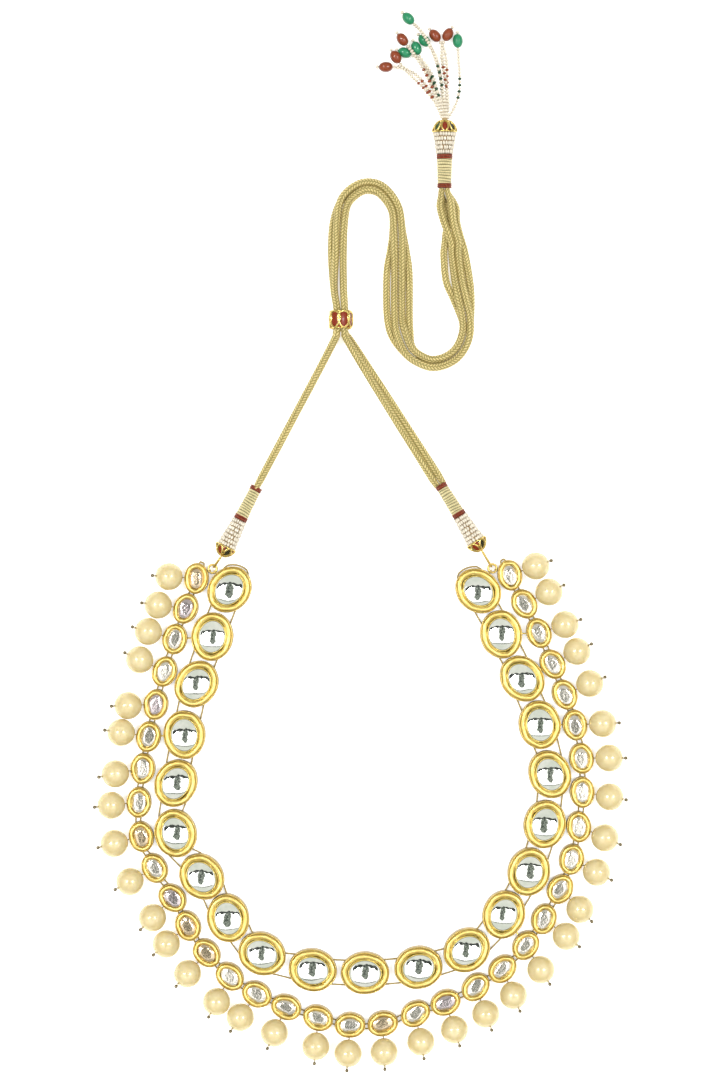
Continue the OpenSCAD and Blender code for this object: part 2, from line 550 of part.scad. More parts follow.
module row_threads() color(zari) {
    row_thread(main_n, [for (i = [0:main_n - 1]) main_pos(i)], [for (i = [0:main_n - 1]) main_way(i)],
        [for (i = [0:main_n - 1]) main_lean(i)], main_l, main_w, main_bore_off);
    row_thread(outer_n, [for (i = [0:outer_n - 1]) outer_pos(i)], [for (i = [0:outer_n - 1]) outer_way(i)],
        [for (i = [0:outer_n - 1]) outer_lean(i)], small_l, small_w, small_bore_off);
}
module row_ties() color(gold) for (k = tied) {
    p = main_pos(k - 1);
    j = nearest(p);
    q = outer_pos(j);
    way = facing(p, q);
    start = edge(main_l, main_w, way - main_way(k - 1) - main_lean(k - 1)) - tie_depth + bore_gap;
    stop = edge(small_l, small_w, way - outer_way(j) - outer_lean(j)) - tie_depth + bore_gap;
    translate([p[0], p[1], tie_z]) rotate(way) translate([start, 0, 0]) rotate([0, 90, 0])
        cylinder(d = thread_d, h = norm(q - p) - start - stop, $fn = 24);
}

// Junction ring, and the link from it up to the ring on a cap
module end_link(ring, cap_ring) {
    j = [ring[0], ring[1], ring_z];
    way = unit([cap_ring[0] - j[0], cap_ring[1] - j[1], 0]);
    a = j + ring_r * way;
    b = cap_ring - cap_ring_r * way;
    u = unit(b - a);
    side = unit(cross([0, 0, 1], u));
    v = cross(u, side);
    translate(j) rotate_extrude() translate([ring_r, 0]) circle(d = ring_wire_d, $fn = 24);
    loop_tube(concat(
        [for (q = [-90:30:90]) b + eye_r * (cos(q) * u + sin(q) * v)],
        [for (q = [90:30:270]) a + eye_r * (cos(q) * u + sin(q) * v)]
    ), -side, eye_wire_d / 2, 6);
}
module end_links() color(gold) {
    end_link(left_ring, cap_ring_at(terminals[0]));
    end_link(right_ring, cap_ring_at(terminals[1]));
}

module terminal_piece(t, from) point_along(along(t, from), t[0][3], rise(t)) children();
module side_cap(t) terminal_piece(t, to_cap(t)) {
    r = t[1][2] / 2;
    intersection() {
        sphere(r = r);
        cylinder(r = r + 1, h = r);
    }
    translate([0, 0, r + cap_ring_r - eye_wire_d / 2]) rotate([0, 90, 0])
        rotate_extrude() translate([cap_ring_r, 0]) circle(d = eye_wire_d + 0.1, $fn = 24);
}
module tassel_cap(t) terminal_piece(t, to_cap(t)) difference() {
    intersection() {
        sphere(r = t[1][2] / 2);
        cylinder(r = t[1][2], h = cap_depth);
    }
    translate([0, 0, 1]) cylinder(d = mouth_d, h = t[1][2]);
}
module end_caps() color(gold) {
    side_cap(terminals[0]);
    side_cap(terminals[1]);
    tassel_cap(terminals[2]);
}
module bead_cones() color("ivory") for (t = terminals)
    terminal_piece(t, to_cap(t) - t[1][4] - seat_gap)
        cylinder(d1 = t[1][1] + cone_out, d2 = t[1][2] - cone_in, h = t[1][4]);
module windings() color(zari) for (t = terminals)
    terminal_piece(t, band_l + seat_gap)
        cylinder(d1 = t[1][0] - winding_in, d2 = t[1][1] - winding_in, h = t[1][3]);
module red_bands() color(rust) for (t = terminals) {
    terminal_piece(t, 0) cylinder(d = t[1][0], h = band_l);
    terminal_piece(t, band_l + t[1][3] + 2 * seat_gap) cylinder(d = t[1][1], h = band_l);
}

// Cord of full thickness, drawn in to its end diameter where it meets a band
module cord(route) {
    m = len(route);
    radii = [for (i = [0:m - 1]) let (from_end = min(i, m - 1 - i))
        (braid_end_d + (braid_d - braid_end_d) * min(1, from_end / 2)) / 2];
    color(zari) run_tube(route, radii, 8);
}
module cord_a() cord(cord_a_route);
module cord_b() cord(cord_b_route);
module cord_c() cord(cord_c_route);
module cord_d() cord(cord_d_route);
module slider() {
    big = (pow(slider_l / 2, 2) + pow(slider_bulge, 2)) / (2 * slider_bulge);
    color(rust) translate([slider_at[0], slider_at[1] + slider_l / 2, slider_d / 2]) rotate([90, 0, 0])
        rotate_extrude() intersection() {
            translate([slider_hole_d / 2, 0]) square([(slider_d - slider_hole_d) / 2, slider_l]);
            translate([slider_d / 2 - big, slider_l / 2]) circle(r = big, $fn = 96);
        }
}

// A string's bend, from the head to the foot of its bead
function bend(p, q, r, s, t) =
    pow(1 - t, 3) * p + 3 * pow(1 - t, 2) * t * q + 3 * (1 - t) * t * t * r + t * t * t * s;
function flat(a) = [cos(a), sin(a), 0];
module tassel_strings() color("ivory") {
    t = terminals[2];
    foot = along(t, to_cap(t) + cap_depth);
    head = [along(t, to_cap(t) + head_in), foot + [0, head_out, 0]];
    run_tube(head, [mouth_d / 2 - 0.2, mouth_d / 2 - 0.4], 12);
    for (i = [0:len(tassel_rows) - 1]) {
        row = tassel_rows[i];
        bead = [row[0], row[1], row[2]];
        low = bead - (oval_l / 2 + bead_gap) * flat(row[3]);
        start = foot + [string_step * (i - (len(tassel_rows) - 1) / 2), head_out - 0.05, 0];
        q = start + row[5] * flat(row[4]) - [0, 0, 1];
        r = low - row[6] * flat(row[3]) + [0, 0, row[7]];
        thin = string_d / 5;
        past = oval_l + 2 * bead_gap;
        curve = [for (k = [0:5]) bend(start, q, r, low, k / 5)];
        ends = [0.05, past - 0.05, past, past + string_d / 2, past + 0.8 * string_d];
        tip = [for (s = ends) low + s * flat(row[3])];
        radii = concat([for (k = [0:5]) string_d / 2], [thin, thin, string_d / 2, string_d / 2, thin]);
        run_tube(concat(curve, tip), radii, 8);
    }
}
module tassel_beads() color("seagreen") for (row = tassel_rows)
    point_along([row[0], row[1], row[2]], row[3], 0) difference() {
        scale([1, 1, oval_l / oval_w]) sphere(d = oval_w);
        cylinder(d = string_d / 2, h = oval_l + 1, center = true, $fn = 24);
    }

main_setting(0);  // setting_01
main_setting(1);  // setting_02
main_setting(2);  // setting_03
main_setting(3);  // setting_04
main_setting(4);  // setting_05
main_setting(5);  // setting_06
main_setting(6);  // setting_07
main_setting(7);  // setting_08
main_setting(8);  // setting_09
main_setting(9);  // setting_10
main_setting(10);  // setting_11
main_setting(11);  // setting_12
main_setting(12);  // setting_13
main_setting(13);  // setting_14
main_setting(14);  // setting_15
main_setting(15);  // setting_16
main_setting(16);  // setting_17
main_setting(17);  // setting_18
main_setting(18);  // setting_19
main_setting(19);  // setting_20
main_setting(20);  // setting_21
main_stone(0);  // stone_01
main_stone(1);  // stone_02
main_stone(2);  // stone_03
main_stone(3);  // stone_04
main_stone(4);  // stone_05
main_stone(5);  // stone_06
main_stone(6);  // stone_07
main_stone(7);  // stone_08
main_stone(8);  // stone_09
main_stone(9);  // stone_10
main_stone(10);  // stone_11
main_stone(11);  // stone_12
main_stone(12);  // stone_13
main_stone(13);  // stone_14
main_stone(14);  // stone_15
main_stone(15);  // stone_16
main_stone(16);  // stone_17
main_stone(17);  // stone_18
main_stone(18);  // stone_19
main_stone(19);  // stone_20
main_stone(20);  // stone_21
outer_settings();
outer_stones();
pearls();
head_pins();
row_threads();
row_ties();
end_links();
end_caps();
bead_cones();
windings();
red_bands();
cord_a();
cord_b();
cord_c();
cord_d();
slider();
tassel_strings();
tassel_beads();
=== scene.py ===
"""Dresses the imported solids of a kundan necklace: gold settings, foiled stones, pearls, cords and tassel.

Lengths are worked out in millimetres and written to the meshes in metres.
"""
import math
import bpy
import numpy as np
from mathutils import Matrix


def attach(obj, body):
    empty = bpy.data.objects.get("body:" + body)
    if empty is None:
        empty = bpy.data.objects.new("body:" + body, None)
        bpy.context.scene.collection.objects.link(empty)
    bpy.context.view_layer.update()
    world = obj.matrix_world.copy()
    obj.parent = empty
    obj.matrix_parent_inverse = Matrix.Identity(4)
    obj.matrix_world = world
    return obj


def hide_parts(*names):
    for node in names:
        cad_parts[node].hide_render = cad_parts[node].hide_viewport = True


bl_info = {
    "name": "Kundan Necklace",
    "version": (1, 0, 0),
    "blender": (4, 5, 0),
    "location": "3D View > Sidebar > Necklace",
    "description": "Builds the visible pieces of a kundan necklace around its packed solids",
    "category": "Object",
}

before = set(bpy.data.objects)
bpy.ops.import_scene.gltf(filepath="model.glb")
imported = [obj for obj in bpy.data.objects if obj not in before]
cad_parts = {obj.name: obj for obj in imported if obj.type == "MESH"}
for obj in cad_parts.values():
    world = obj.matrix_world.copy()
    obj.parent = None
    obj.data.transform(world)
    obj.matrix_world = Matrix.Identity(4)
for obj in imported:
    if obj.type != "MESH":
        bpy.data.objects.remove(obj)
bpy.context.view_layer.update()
MM = 0.001
IMAGE_HEIGHT = 393.12  # millimetres of the piece's upper side that the picture's height covers
UPPER_SIDE = 3.0  # its height above the table
SENSOR = 36.0
Z_UP = np.array([0.0, 0.0, 1.0])

# The cords' routes from their band at the side to the band at the tassel, as in the part's source
CORD_ROUTES = {
    "a": [
        (30, 20.8, 2.2), (27.6, 25.2, 1.4), (-0.5, 68.5, 1.6), (-5.6, 76, 3), (-5.6, 84, 3),
        (-6, 92, 1.4), (-6.1, 105, 1.3), (-5.6, 116.5, 1.3), (-4.1, 122.9, 1.3), (0.6, 127, 1.3),
        (4.8, 127.3, 1.3), (8.4, 125, 1.3), (11.7, 119.6, 1.3), (12, 112, 1.3), (11, 105, 1.3),
        (9.8, 97, 1.3), (9.9, 82, 1.3), (11.8, 74, 1.3), (16.4, 68, 1.3), (20.6, 64.8, 1.3),
        (26, 62.9, 1.3), (31.6, 63.9, 1.3), (36.4, 67.2, 1.3), (39.6, 73, 1.3), (40.3, 80, 1.3),
        (40.5, 88, 1.3), (40, 94.5, 1.3), (38.4, 104, 1.3), (37.4, 108, 1.3), (36.2, 112, 1.3),
        (35.2, 116.5, 1.3), (35.1, 120.5, 1.3), (33.9, 123.4, 1.35), (32.05, 126.4, 1.7),
        (31.75, 127.9, 1.8),
    ],
    "b": [
        (28.4, 19.8, 2.2), (25.4, 23.8, 1.4), (-2, 68, 4.3), (-5.6, 76, 5.8), (-5.6, 84, 5.8),
        (-6, 92, 4.2), (-6.1, 105, 4), (-5.6, 116.5, 4), (-4.1, 122.9, 4), (0.6, 127, 4),
        (4.8, 127.3, 4), (8.4, 125, 4), (11.7, 119.6, 4), (12.4, 112, 4), (12.6, 105, 3.6),
        (12.6, 97, 2.2), (12.6, 82, 1.3), (13.5, 75, 3.4), (16.5, 68.1, 4), (20.6, 64.8, 4),
        (26, 62.9, 4), (31.6, 63.9, 4), (36.4, 67.2, 4), (39.6, 73, 4), (40.1, 80, 4),
        (38.5, 88, 3.7), (37.3, 94.5, 1.6), (35.9, 104, 2.6), (35.9, 108, 3.6), (34.7, 112, 3.95),
        (33.7, 116.5, 4), (33, 122.6, 4), (31.95, 126.4, 3.95), (31.75, 127.75, 3.7),
    ],
    "c": [
        (-37.5, 19.5, 3.6), (-35.5, 23.3, 4), (-12, 67.5, 4.3), (-8.4, 76, 5.8), (-8.4, 84, 5.8),
        (-9.4, 92, 4.2), (-8.8, 105, 3.5), (-8.3, 116.5, 3.7), (-6.5, 124.5, 4), (-0.6, 129.5, 4),
        (5.6, 129.9, 4), (10.4, 126.8, 4), (14.2, 120.5, 4), (15.2, 112, 4), (15.3, 105, 3.6),
        (15.3, 97, 2.7), (15.3, 82, 1.3), (16.2, 76, 3.8), (18.6, 70.1, 4), (22, 67.2, 4),
        (26, 65.7, 4), (30.5, 66.5, 4), (34.5, 69.3, 4), (36.9, 74, 4), (37.4, 79.5, 4),
        (35.8, 88, 3.5), (34.6, 94.5, 1.7), (33.5, 104, 1.4), (33.3, 108, 3), (31.9, 112, 4),
        (30.3, 116.5, 3.6), (29.2, 121, 3.1), (29.3, 123.4, 3.7), (29.65, 126.4, 3.95),
        (29.8, 127.75, 3.7),
    ],
    "d": [
        (-37.5, 19.5, 1.7), (-35.5, 23.3, 1.3), (-12, 67.5, 1.6), (-8.4, 76, 3), (-8.4, 84, 3),
        (-9.6, 92, 1.4), (-10.4, 105, 1.3), (-9.6, 116.5, 1.3), (-6.4, 124.4, 1.3),
        (-0.6, 129.4, 1.3), (5.6, 129.9, 1.3), (10.4, 126.8, 1.3), (14.2, 120.5, 1.3),
        (15.6, 112, 1.3), (16.9, 105, 1.3), (17.9, 97, 1.3), (18, 82, 1.3), (18.2, 76.5, 1.3),
        (18.9, 70.7, 1.3), (22, 67.2, 1.3), (26, 65.7, 1.3), (30.5, 66.5, 1.3), (34.5, 69.3, 1.3),
        (36.9, 74, 1.3), (37.4, 79.5, 1.3), (34.1, 88, 1.3), (31.4, 94.5, 1.3), (30.6, 104, 1.3),
        (31, 108, 1.3), (31.4, 112, 1.3), (32.2, 116, 1.3), (31.9, 119.5, 1.3), (30.6, 122.9, 1.35),
        (29.6, 126.4, 1.65), (29.8, 127.9, 1.8),
    ],
}
# Terminals: where the first band meets its cords (x, y, z, heading), then the diameters at the neck,
# the waist and the cap, and the lengths of the winding and of the bead cone
TERMINALS = {
    "left": ((-37.6, 19.3, 2.65, -117), (4.4, 5.0, 7.4, 10.2, 10.8)),
    "right": ((29.3, 20.1, 2.25, -58), (4.4, 5.0, 7.4, 10.2, 10.8)),
    "tassel": ((30.75, 128.2, 2.75, 90), (5.2, 5.8, 9.0, 8.8, 7.9)),
}
BAND_LENGTH = 1.6
SEAT_GAP = 0.05
CAP_RING_R = 0.9
SLIDER_PLACE = (-7.0, 80.0, 4.4)
SLIDER_SIZE = (8.8, 6.6, 6.84)  # width, length and hole
# Tassel beads: x, y, z, heading of the bead, heading of its string at the head, reach of the
# string's bend at the head and at the bead, lift of its bend at the bead, and 1 where it is green
TASSEL_ROWS = np.array([
    (9.4, 172.4, 2, 180, 112, 12, 9, 0, 0), (13, 175.7, 3.6, 124, 108, 11, 8, 0, 0),
    (15.4, 182.1, 3.5, 129, 107, 12, 9, 2.2, 0), (16.3, 177.6, 2, 162, 104, 12, 8, 0, 1),
    (20.5, 179.2, 2, 113, 99, 10, 7, 0, 1), (23.4, 182, 2, 134, 97, 10, 6, 0, 1),
    (17.6, 190, 2.2, 135, 92, 15, 10, 6.5, 1), (27.3, 183.8, 2, 129, 91, 10, 7, 0, 0),
    (32, 184.1, 2.4, 59, 76, 10, 6, 0, 0), (35.6, 181.9, 2, 92, 48, 10, 10, 0, 1),
])
OVAL_LENGTH, OVAL_WIDTH, BEAD_GAP, STRING_STEP = 5.1, 3.8, 0.15, 0.18


# Surfaces

class Surface:
    """Points in millimetres, the quads and triangles that join them, and named values at the points."""

    def __init__(self, points, quads=(), tris=(), **values):
        """Keeps each list as an array with one row for each point or face."""
        self.points = np.asarray(points, float).reshape(-1, 3)
        self.quads = np.asarray(quads, int).reshape(-1, 4)
        self.tris = np.asarray(tris, int).reshape(-1, 3)
        self.values = values

    def at(self, turns, places):
        """Copies, one for each turn (K, 3, 3) and place (K, 3): turn times point, plus place."""
        turns = np.asarray(turns, float).reshape(-1, 3, 3)
        places = np.asarray(places, float).reshape(-1, 3)
        many, count = len(places), len(self.points)
        points = np.einsum("kij,nj->kni", turns, self.points) + places[:, None]
        step = (np.arange(many) * count)[:, None, None]
        values = {k: np.tile(v, (many,) + (1,) * (np.ndim(v) - 1)) for k, v in self.values.items()}
        return Surface(points, self.quads + step, self.tris + step, **values)


def joined(surfaces):
    """One surface of several, which all have the same named values."""
    starts = np.cumsum([0] + [len(s.points) for s in surfaces])
    return Surface(
        np.concatenate([s.points for s in surfaces]),
        np.concatenate([s.quads + n for s, n in zip(surfaces, starts)]),
        np.concatenate([s.tris + n for s, n in zip(surfaces, starts)]),
        **{k: np.concatenate([s.values[k] for s in surfaces]) for k in surfaces[0].values},
    )


def grid(points, close_rows=False, close_ends=True, **values):
    """A surface over points[row, column], whose columns close on themselves. Rows close too where
    close_rows says so; otherwise each end row is filled by a fan round its middle."""
    rows, columns = points.shape[:2]
    i = np.arange(rows if close_rows else rows - 1)[:, None]
    j = np.arange(columns)[None]
    k, m = (j + 1) % columns, (i + 1) % rows
    corners = (i * columns + j, i * columns + k, m * columns + k, m * columns + j)
    quads = np.stack(np.broadcast_arrays(*corners), -1)
    flat = points.reshape(-1, 3)
    tris = []
    values = {
        key: np.asarray(v, float).reshape((rows * columns,) + np.shape(v)[2:]) for key, v in values.items()
    }
    if close_ends and not close_rows:
        a = np.arange(columns)
        b = (a + 1) % columns
        start, end = len(flat), len(flat) + 1
        last = (rows - 1) * columns
        flat = np.concatenate([flat, points[:1].mean(1), points[-1:].mean(1)])
        tris = np.concatenate([
            np.stack([b, a, np.full(columns, start)], 1),
            np.stack([last + a, last + b, np.full(columns, end)], 1),
        ])
        values = {
            key: np.concatenate([v, v[:columns].mean(0)[None], v[last:last + columns].mean(0)[None]])
            for key, v in values.items()
        }
    return Surface(flat, quads, tris, **values)


def painted(surface, tint, **values):
    """The surface with one tint and other even values all over."""
    count = len(surface.points)
    even = {key: np.full(count, value) for key, value in values.items()}
    surface.values = {"tint": np.tile(tint, (count, 1)), **even}
    return surface


def unit(v):
    """Vectors at length one."""
    return v / np.linalg.norm(v, axis=-1, keepdims=True)


def round_turn(count):
    """Angles round a turn, in radians, with the last one short of the first."""
    return np.arange(count) * 2 * np.pi / count


def along_path(path, up=Z_UP, closed=False):
    """At each point of a path: its tangent, the side vector square to up, and the vector square to both."""
    if closed:
        tangent = unit(np.roll(path, -1, 0) - np.roll(path, 1, 0))
    else:
        tangent = unit(np.gradient(path, axis=0))
    side = unit(np.cross(up, tangent))
    return tangent, side, np.cross(tangent, side)


def tube(path, radius, sides, up=Z_UP, closed=False, **values):
    """Centre plus radius(row, column) times (cos t along the side vector plus sin t along the normal)."""
    _, side, normal = along_path(path, up, closed)
    t = round_turn(sides)
    shape = (len(path), sides)
    radius = np.broadcast_to(radius, shape)
    ring = np.cos(t)[None, :, None] * side[:, None] + np.sin(t)[None, :, None] * normal[:, None]
    values = {k: np.broadcast_to(v, shape) for k, v in values.items()}
    return grid(path[:, None] + radius[..., None] * ring, close_rows=closed, **values)


def turned(profile, sides, close_rows=False):
    """A profile of (radius, height) turned round Z: radius times cos t, radius times sin t, height."""
    t = round_turn(sides)
    r, z = profile[:, :1], profile[:, 1:]
    return grid(np.stack([r * np.cos(t), r * np.sin(t), z * np.ones(sides)], -1), close_rows)


def frames(way, tilt=0.0):
    """Turns that carry +Z to a heading and a rise in degrees, with X kept level: (K, 3, 3)."""
    way, tilt = np.broadcast_arrays(np.radians(np.atleast_1d(way)), np.radians(np.atleast_1d(tilt)))
    z = np.stack([np.cos(way) * np.cos(tilt), np.sin(way) * np.cos(tilt), np.sin(tilt)], -1)
    return frames_to(z)


def frames_to(z):
    """Turns whose Z is the given unit vector and whose X is level: (K, 3, 3)."""
    z = np.atleast_2d(z)
    x = unit(np.cross(Z_UP, z))
    return np.stack([x, np.cross(z, x), z], -1)


def spin(angle):
    """Turns about Z by angles in radians: (K, 3, 3)."""
    angle = np.atleast_1d(angle)
    c, s, o, i = np.cos(angle), np.sin(angle), np.zeros_like(angle), np.ones_like(angle)
    return np.stack([np.stack([c, -s, o], -1), np.stack([s, c, o], -1), np.stack([o, o, i], -1)], -2)


def waves(t, rng, size, harmonics=(2, 3, 5, 8)):
    """Hand-made unevenness: a sum of sines of t, each with a random phase, smaller as they quicken."""
    return sum(size / math.sqrt(k) * np.sin(k * t + rng.uniform(0, 2 * np.pi)) for k in harmonics)


def smooth_path(route, step):
    """Catmull-Rom curve through a route's points, resampled to equal steps of about the given length."""
    p = np.asarray(route, float)
    p = np.concatenate([2 * p[:1] - p[1:2], p, 2 * p[-1:] - p[-2:-1]])
    t = (np.arange(16) / 16)[None, :, None]
    a, b, c, d = (p[i:len(p) - 3 + i, None] for i in range(4))
    q = 0.5 * (2 * b + (c - a) * t + (2 * a - 5 * b + 4 * c - d) * t ** 2
               + (3 * b - a - 3 * c + d) * t ** 3)
    q = np.concatenate([q.reshape(-1, 3), p[-2:-1]])
    return resampled(q, step)


def resampled(q, step):
    """A line of points set at equal distances along itself."""
    s = np.concatenate([[0], np.cumsum(np.linalg.norm(np.diff(q, axis=0), axis=1))])
    u = np.linspace(0, s[-1], max(2, int(round(s[-1] / step)) + 1))
    return np.stack([np.interp(u, s, q[:, k]) for k in range(3)], -1)


def path_length(path):
    """The sum of the steps between a path's points."""
    return float(np.linalg.norm(np.diff(path, axis=0), axis=1).sum())


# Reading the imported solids

ROW_MIDDLE = np.array([0.0, -60.0])  # a place inside the rows, which run round it


def node_mesh(node):
    """A node's points in millimetres and its triangles."""
    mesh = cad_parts[node].data
    points = np.empty(len(mesh.vertices) * 3, np.float32)
    mesh.vertices.foreach_get("co", points)
    mesh.calc_loop_triangles()
    tris = np.empty(len(mesh.loop_triangles) * 3, np.int32)
    mesh.loop_triangles.foreach_get("vertices", tris)
    return points.reshape(-1, 3).astype(float) / MM, tris.reshape(-1, 3)


def loose_parts(node):
    """The points of each loose solid of a node. Points at one place count as one; then each takes the
    lowest number among its neighbours until nothing changes."""
    points, tris = node_mesh(node)
    _, same = np.unique(np.round(points, 3), axis=0, return_inverse=True)
    tris = same.reshape(-1)[tris]
    label = np.arange(same.max() + 1)
    while True:
        low = label[tris].min(1)
        new = label.copy()
        for corner in range(3):
            np.minimum.at(new, tris[:, corner], low)
        new = new[new]
        if (new == label).all():
            break
        label = new
    label = label[same.reshape(-1)]
    return [points[label == k] for k in np.unique(label)]


def middle(points):
    """The middle of the box round some points."""
    return (points.min(0) + points.max(0)) / 2


def long_axis(points):
    """The direction along which points spread the most."""
    points = np.unique(np.round(points, 3), axis=0)
    return np.linalg.eigh(np.cov((points - points.mean(0)).T))[1][:, -1]


def by_row(centres):
    """The order of places round the necklace, from the left end to the right one."""
    out = centres[:, :2] - ROW_MIDDLE
    return np.argsort((np.degrees(np.arctan2(out[:, 1], out[:, 0])) - 90) % 360)


def terminal(name):
    """A terminal's turn, its length, and a function giving the point at a distance along its axis."""
    (x, y, z, way), (_, _, cap, winding, cone) = TERMINALS[name]
    total = 2 * BAND_LENGTH + winding + cone + 4 * SEAT_GAP
    tilt = math.degrees(math.asin((cap / 2 - z) / total))
    turn = frames(way, tilt)[0]
    start = np.array([x, y, z])
    return turn, total, lambda s: start + s * turn[:, 2]


# Making pieces

def mesh_object(name, surface, material):
    """A smooth mesh object of a surface, at the origin, with its values as point attributes."""
    mesh = bpy.data.meshes.new(name)
    loops = np.concatenate([surface.quads.ravel(), surface.tris.ravel()]).astype(np.int32)
    starts = np.concatenate([
        np.arange(len(surface.quads)) * 4, len(surface.quads) * 4 + np.arange(len(surface.tris)) * 3
    ]).astype(np.int32)
    mesh.vertices.add(len(surface.points))
    mesh.vertices.foreach_set("co", (surface.points * MM).astype(np.float32).ravel())
    mesh.loops.add(len(loops))
    mesh.loops.foreach_set("vertex_index", loops)
    mesh.polygons.add(len(starts))
    mesh.polygons.foreach_set("loop_start", starts)
    mesh.update(calc_edges=True)
    mesh.polygons.foreach_set("use_smooth", np.ones(len(starts), bool))
    for key, value in surface.values.items():
        kind = "FLOAT" if np.ndim(value) == 1 else "FLOAT_VECTOR"
        field = "value" if kind == "FLOAT" else "vector"
        data = mesh.attributes.new(key, kind, "POINT").data
        data.foreach_set(field, np.asarray(value, np.float32).ravel())
    mesh.materials.append(material)
    mesh.update()
    piece = bpy.data.objects.new(name, mesh)
    bpy.context.scene.collection.objects.link(piece)
    return piece


def make_piece(name, surface, material, node):
    """A piece of the necklace: it rides on the body and stands in for a node, which it hides."""
    piece = mesh_object(name, surface, material)
    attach(piece, "root")
    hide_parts(node)


def stage_piece(name, surface, material, seen=False):
    """A thing of the stage, hidden from the camera unless seen says otherwise."""
    piece = mesh_object(name, surface, material)
    piece.visible_camera = seen


# Materials

def put(tree, kind, **inputs):
    """Adds a shader node. A name in lower case is the node's own setting. Others are sockets, which take
    a value or another node's output: an underscore stands for a space, and I0 is the first one."""
    node = tree.nodes.new("ShaderNode" + kind)
    for key, value in inputs.items():
        if key[0].islower():
            setattr(node, key, value)
            continue
        numbered = key[0] == "I" and key[1:].isdigit()
        socket = node.inputs[int(key[1:]) if numbered else key.replace("_", " ")]
        if isinstance(value, bpy.types.NodeSocket):
            tree.links.new(value, socket)
        elif isinstance(value, (tuple, list)) and len(value) == 3 and socket.type == "RGBA":
            socket.default_value = (*value, 1)
        else:
            socket.default_value = value
    return node


def coordinates(tree):
    """Object coordinates in millimetres."""
    place = put(tree, "TexCoord").outputs["Object"]
    return put(tree, "VectorMath", operation="SCALE", I0=place, Scale=1 / MM).outputs[0]


def noise(tree, where, scale, detail=3.0, rough=0.5):
    """Noise from 0 to 1 with its scale in waves per millimetre."""
    return put(tree, "TexNoise", Vector=where, Scale=scale, Detail=detail, Roughness=rough).outputs["Fac"]


def spread(tree, value, low, high, to_low=0.0, to_high=1.0):
    """Maps a range of a value to another, held at its ends."""
    node = put(tree, "MapRange", Value=value, From_Min=low, From_Max=high, To_Min=to_low, To_Max=to_high)
    return node.outputs[0]


def mixed(tree, share, a, b, kind="MIX"):
    """A colour between a and b by a share, or another blend of the two."""
    node = put(tree, "Mix", data_type="RGBA", blend_type=kind)
    for socket, value in ((node.inputs[0], share), (node.inputs[6], a), (node.inputs[7], b)):
        if isinstance(value, bpy.types.NodeSocket):
            tree.links.new(value, socket)
        else:
            socket.default_value = (*value, 1) if isinstance(value, tuple) else value
    return node.outputs[2]


def maths(tree, operation, a, b):
    """A sum or product of two values."""
    return put(tree, "Math", operation=operation, I0=a, I1=b).outputs[0]


def attribute(tree, name, output="Fac"):
    """A named value at the mesh's points."""
    return put(tree, "Attribute", attribute_name=name).outputs[output]


def bumped(tree, height, depth):
    """A normal from a height of 0 to 1, with its depth in millimetres."""
    return put(tree, "Bump", Height=height, Distance=depth * MM, Strength=1.0).outputs[0]


def start_material(name):
    """A material with an empty tree, returned with the tree."""
    material = bpy.data.materials.new(name)
    material.use_nodes = True
    material.node_tree.nodes.clear()
    return material, material.node_tree


def finish_material(tree, kind="BsdfPrincipled", **sockets):
    """Joins a shader with the given sockets to the material's output."""
    put(tree, "OutputMaterial", Surface=put(tree, kind, **sockets).outputs[0])


def colour(value):
    """A colour property as three numbers."""
    return tuple(value)[:3]


def gold_material(name, bright, dark, rough, attribute_name=None, grain=0.032):
    """Burnished gold leaf: paler and deeper patches, fine pits and streaks, and painted shade in its creases.
    """
    material, tree = start_material(name)
    mm = coordinates(tree)
    broad = noise(tree, mm, 0.45, 3)
    fine = noise(tree, mm, 3.2, 4, 0.65)
    pits = spread(tree, noise(tree, mm, 7.0, 2), 0.3, 0.48)
    deep = tuple(c * k for c, k in zip(bright, (0.92, 0.85, 0.7)))
    base = mixed(tree, spread(tree, broad, 0.38, 0.62), deep, bright)
    base = mixed(tree, spread(tree, fine, 0.62, 0.8, 0, 0.35), base, (1.0, 0.86, 0.5))
    # Painted shade: the dark colour is mixed in, a little unevenly, where the attribute marks grooves and
    # side walls.
    if attribute_name:
        uneven = spread(tree, broad, 0.3, 0.6, 0.75, 1.0)
        crease = maths(tree, "MULTIPLY", attribute(tree, attribute_name), uneven)
        base = mixed(tree, crease, base, dark)
    height = maths(tree, "ADD", maths(tree, "MULTIPLY", fine, 0.8), maths(tree, "MULTIPLY", pits, 0.35))
    finish_material(
        tree, Base_Color=base, Metallic=1.0,
        Roughness=spread(tree, fine, 0.3, 0.7, rough * 0.75, rough * 1.35),
        Normal=bumped(tree, height, grain),
    )
    return material


def twine_material(name, base):
    """Gilt twine: patches of a deeper tone, and a fine grain."""
    material, tree = start_material(name)
    mm = coordinates(tree)
    shade = mixed(tree, noise(tree, mm, 2.2, 3), tuple(c * 0.4 for c in base), base)
    finish_material(
        tree, Base_Color=shade, Metallic=0.6,
        Roughness=spread(tree, noise(tree, mm, 6.6, 3), 0.3, 0.7, 0.32, 0.5),
        Normal=bumped(tree, noise(tree, mm, 8.8, 3), 0.04),
    )
    return material


def tinted_material(name, rough, grain, scale, metallic=0.0, coat=0.0, coat_tint=(1.0, 1.0, 1.0),
                    shade=0.25):
    """A finish whose colour is the tint at the points, mottled a little."""
    material, tree = start_material(name)
    mm = coordinates(tree)
    patches = spread(tree, noise(tree, mm, scale, 3), 0.3, 0.7)
    base = mixed(tree, maths(tree, "MULTIPLY", patches, shade), attribute(tree, "tint", "Color"),
                 (0.5, 0.5, 0.5), "MULTIPLY")
    finish_material(
        tree, Base_Color=base, Metallic=metallic, Coat_Weight=coat, Coat_Roughness=0.06, Coat_IOR=1.3,
        Coat_Tint=(*coat_tint, 1.0),
        Roughness=spread(tree, noise(tree, mm, scale * 3, 2), 0.3, 0.7, rough * 0.8, rough * 1.3),
        Normal=bumped(tree, noise(tree, mm, scale * 1.5, 3), grain),
    )
    return material


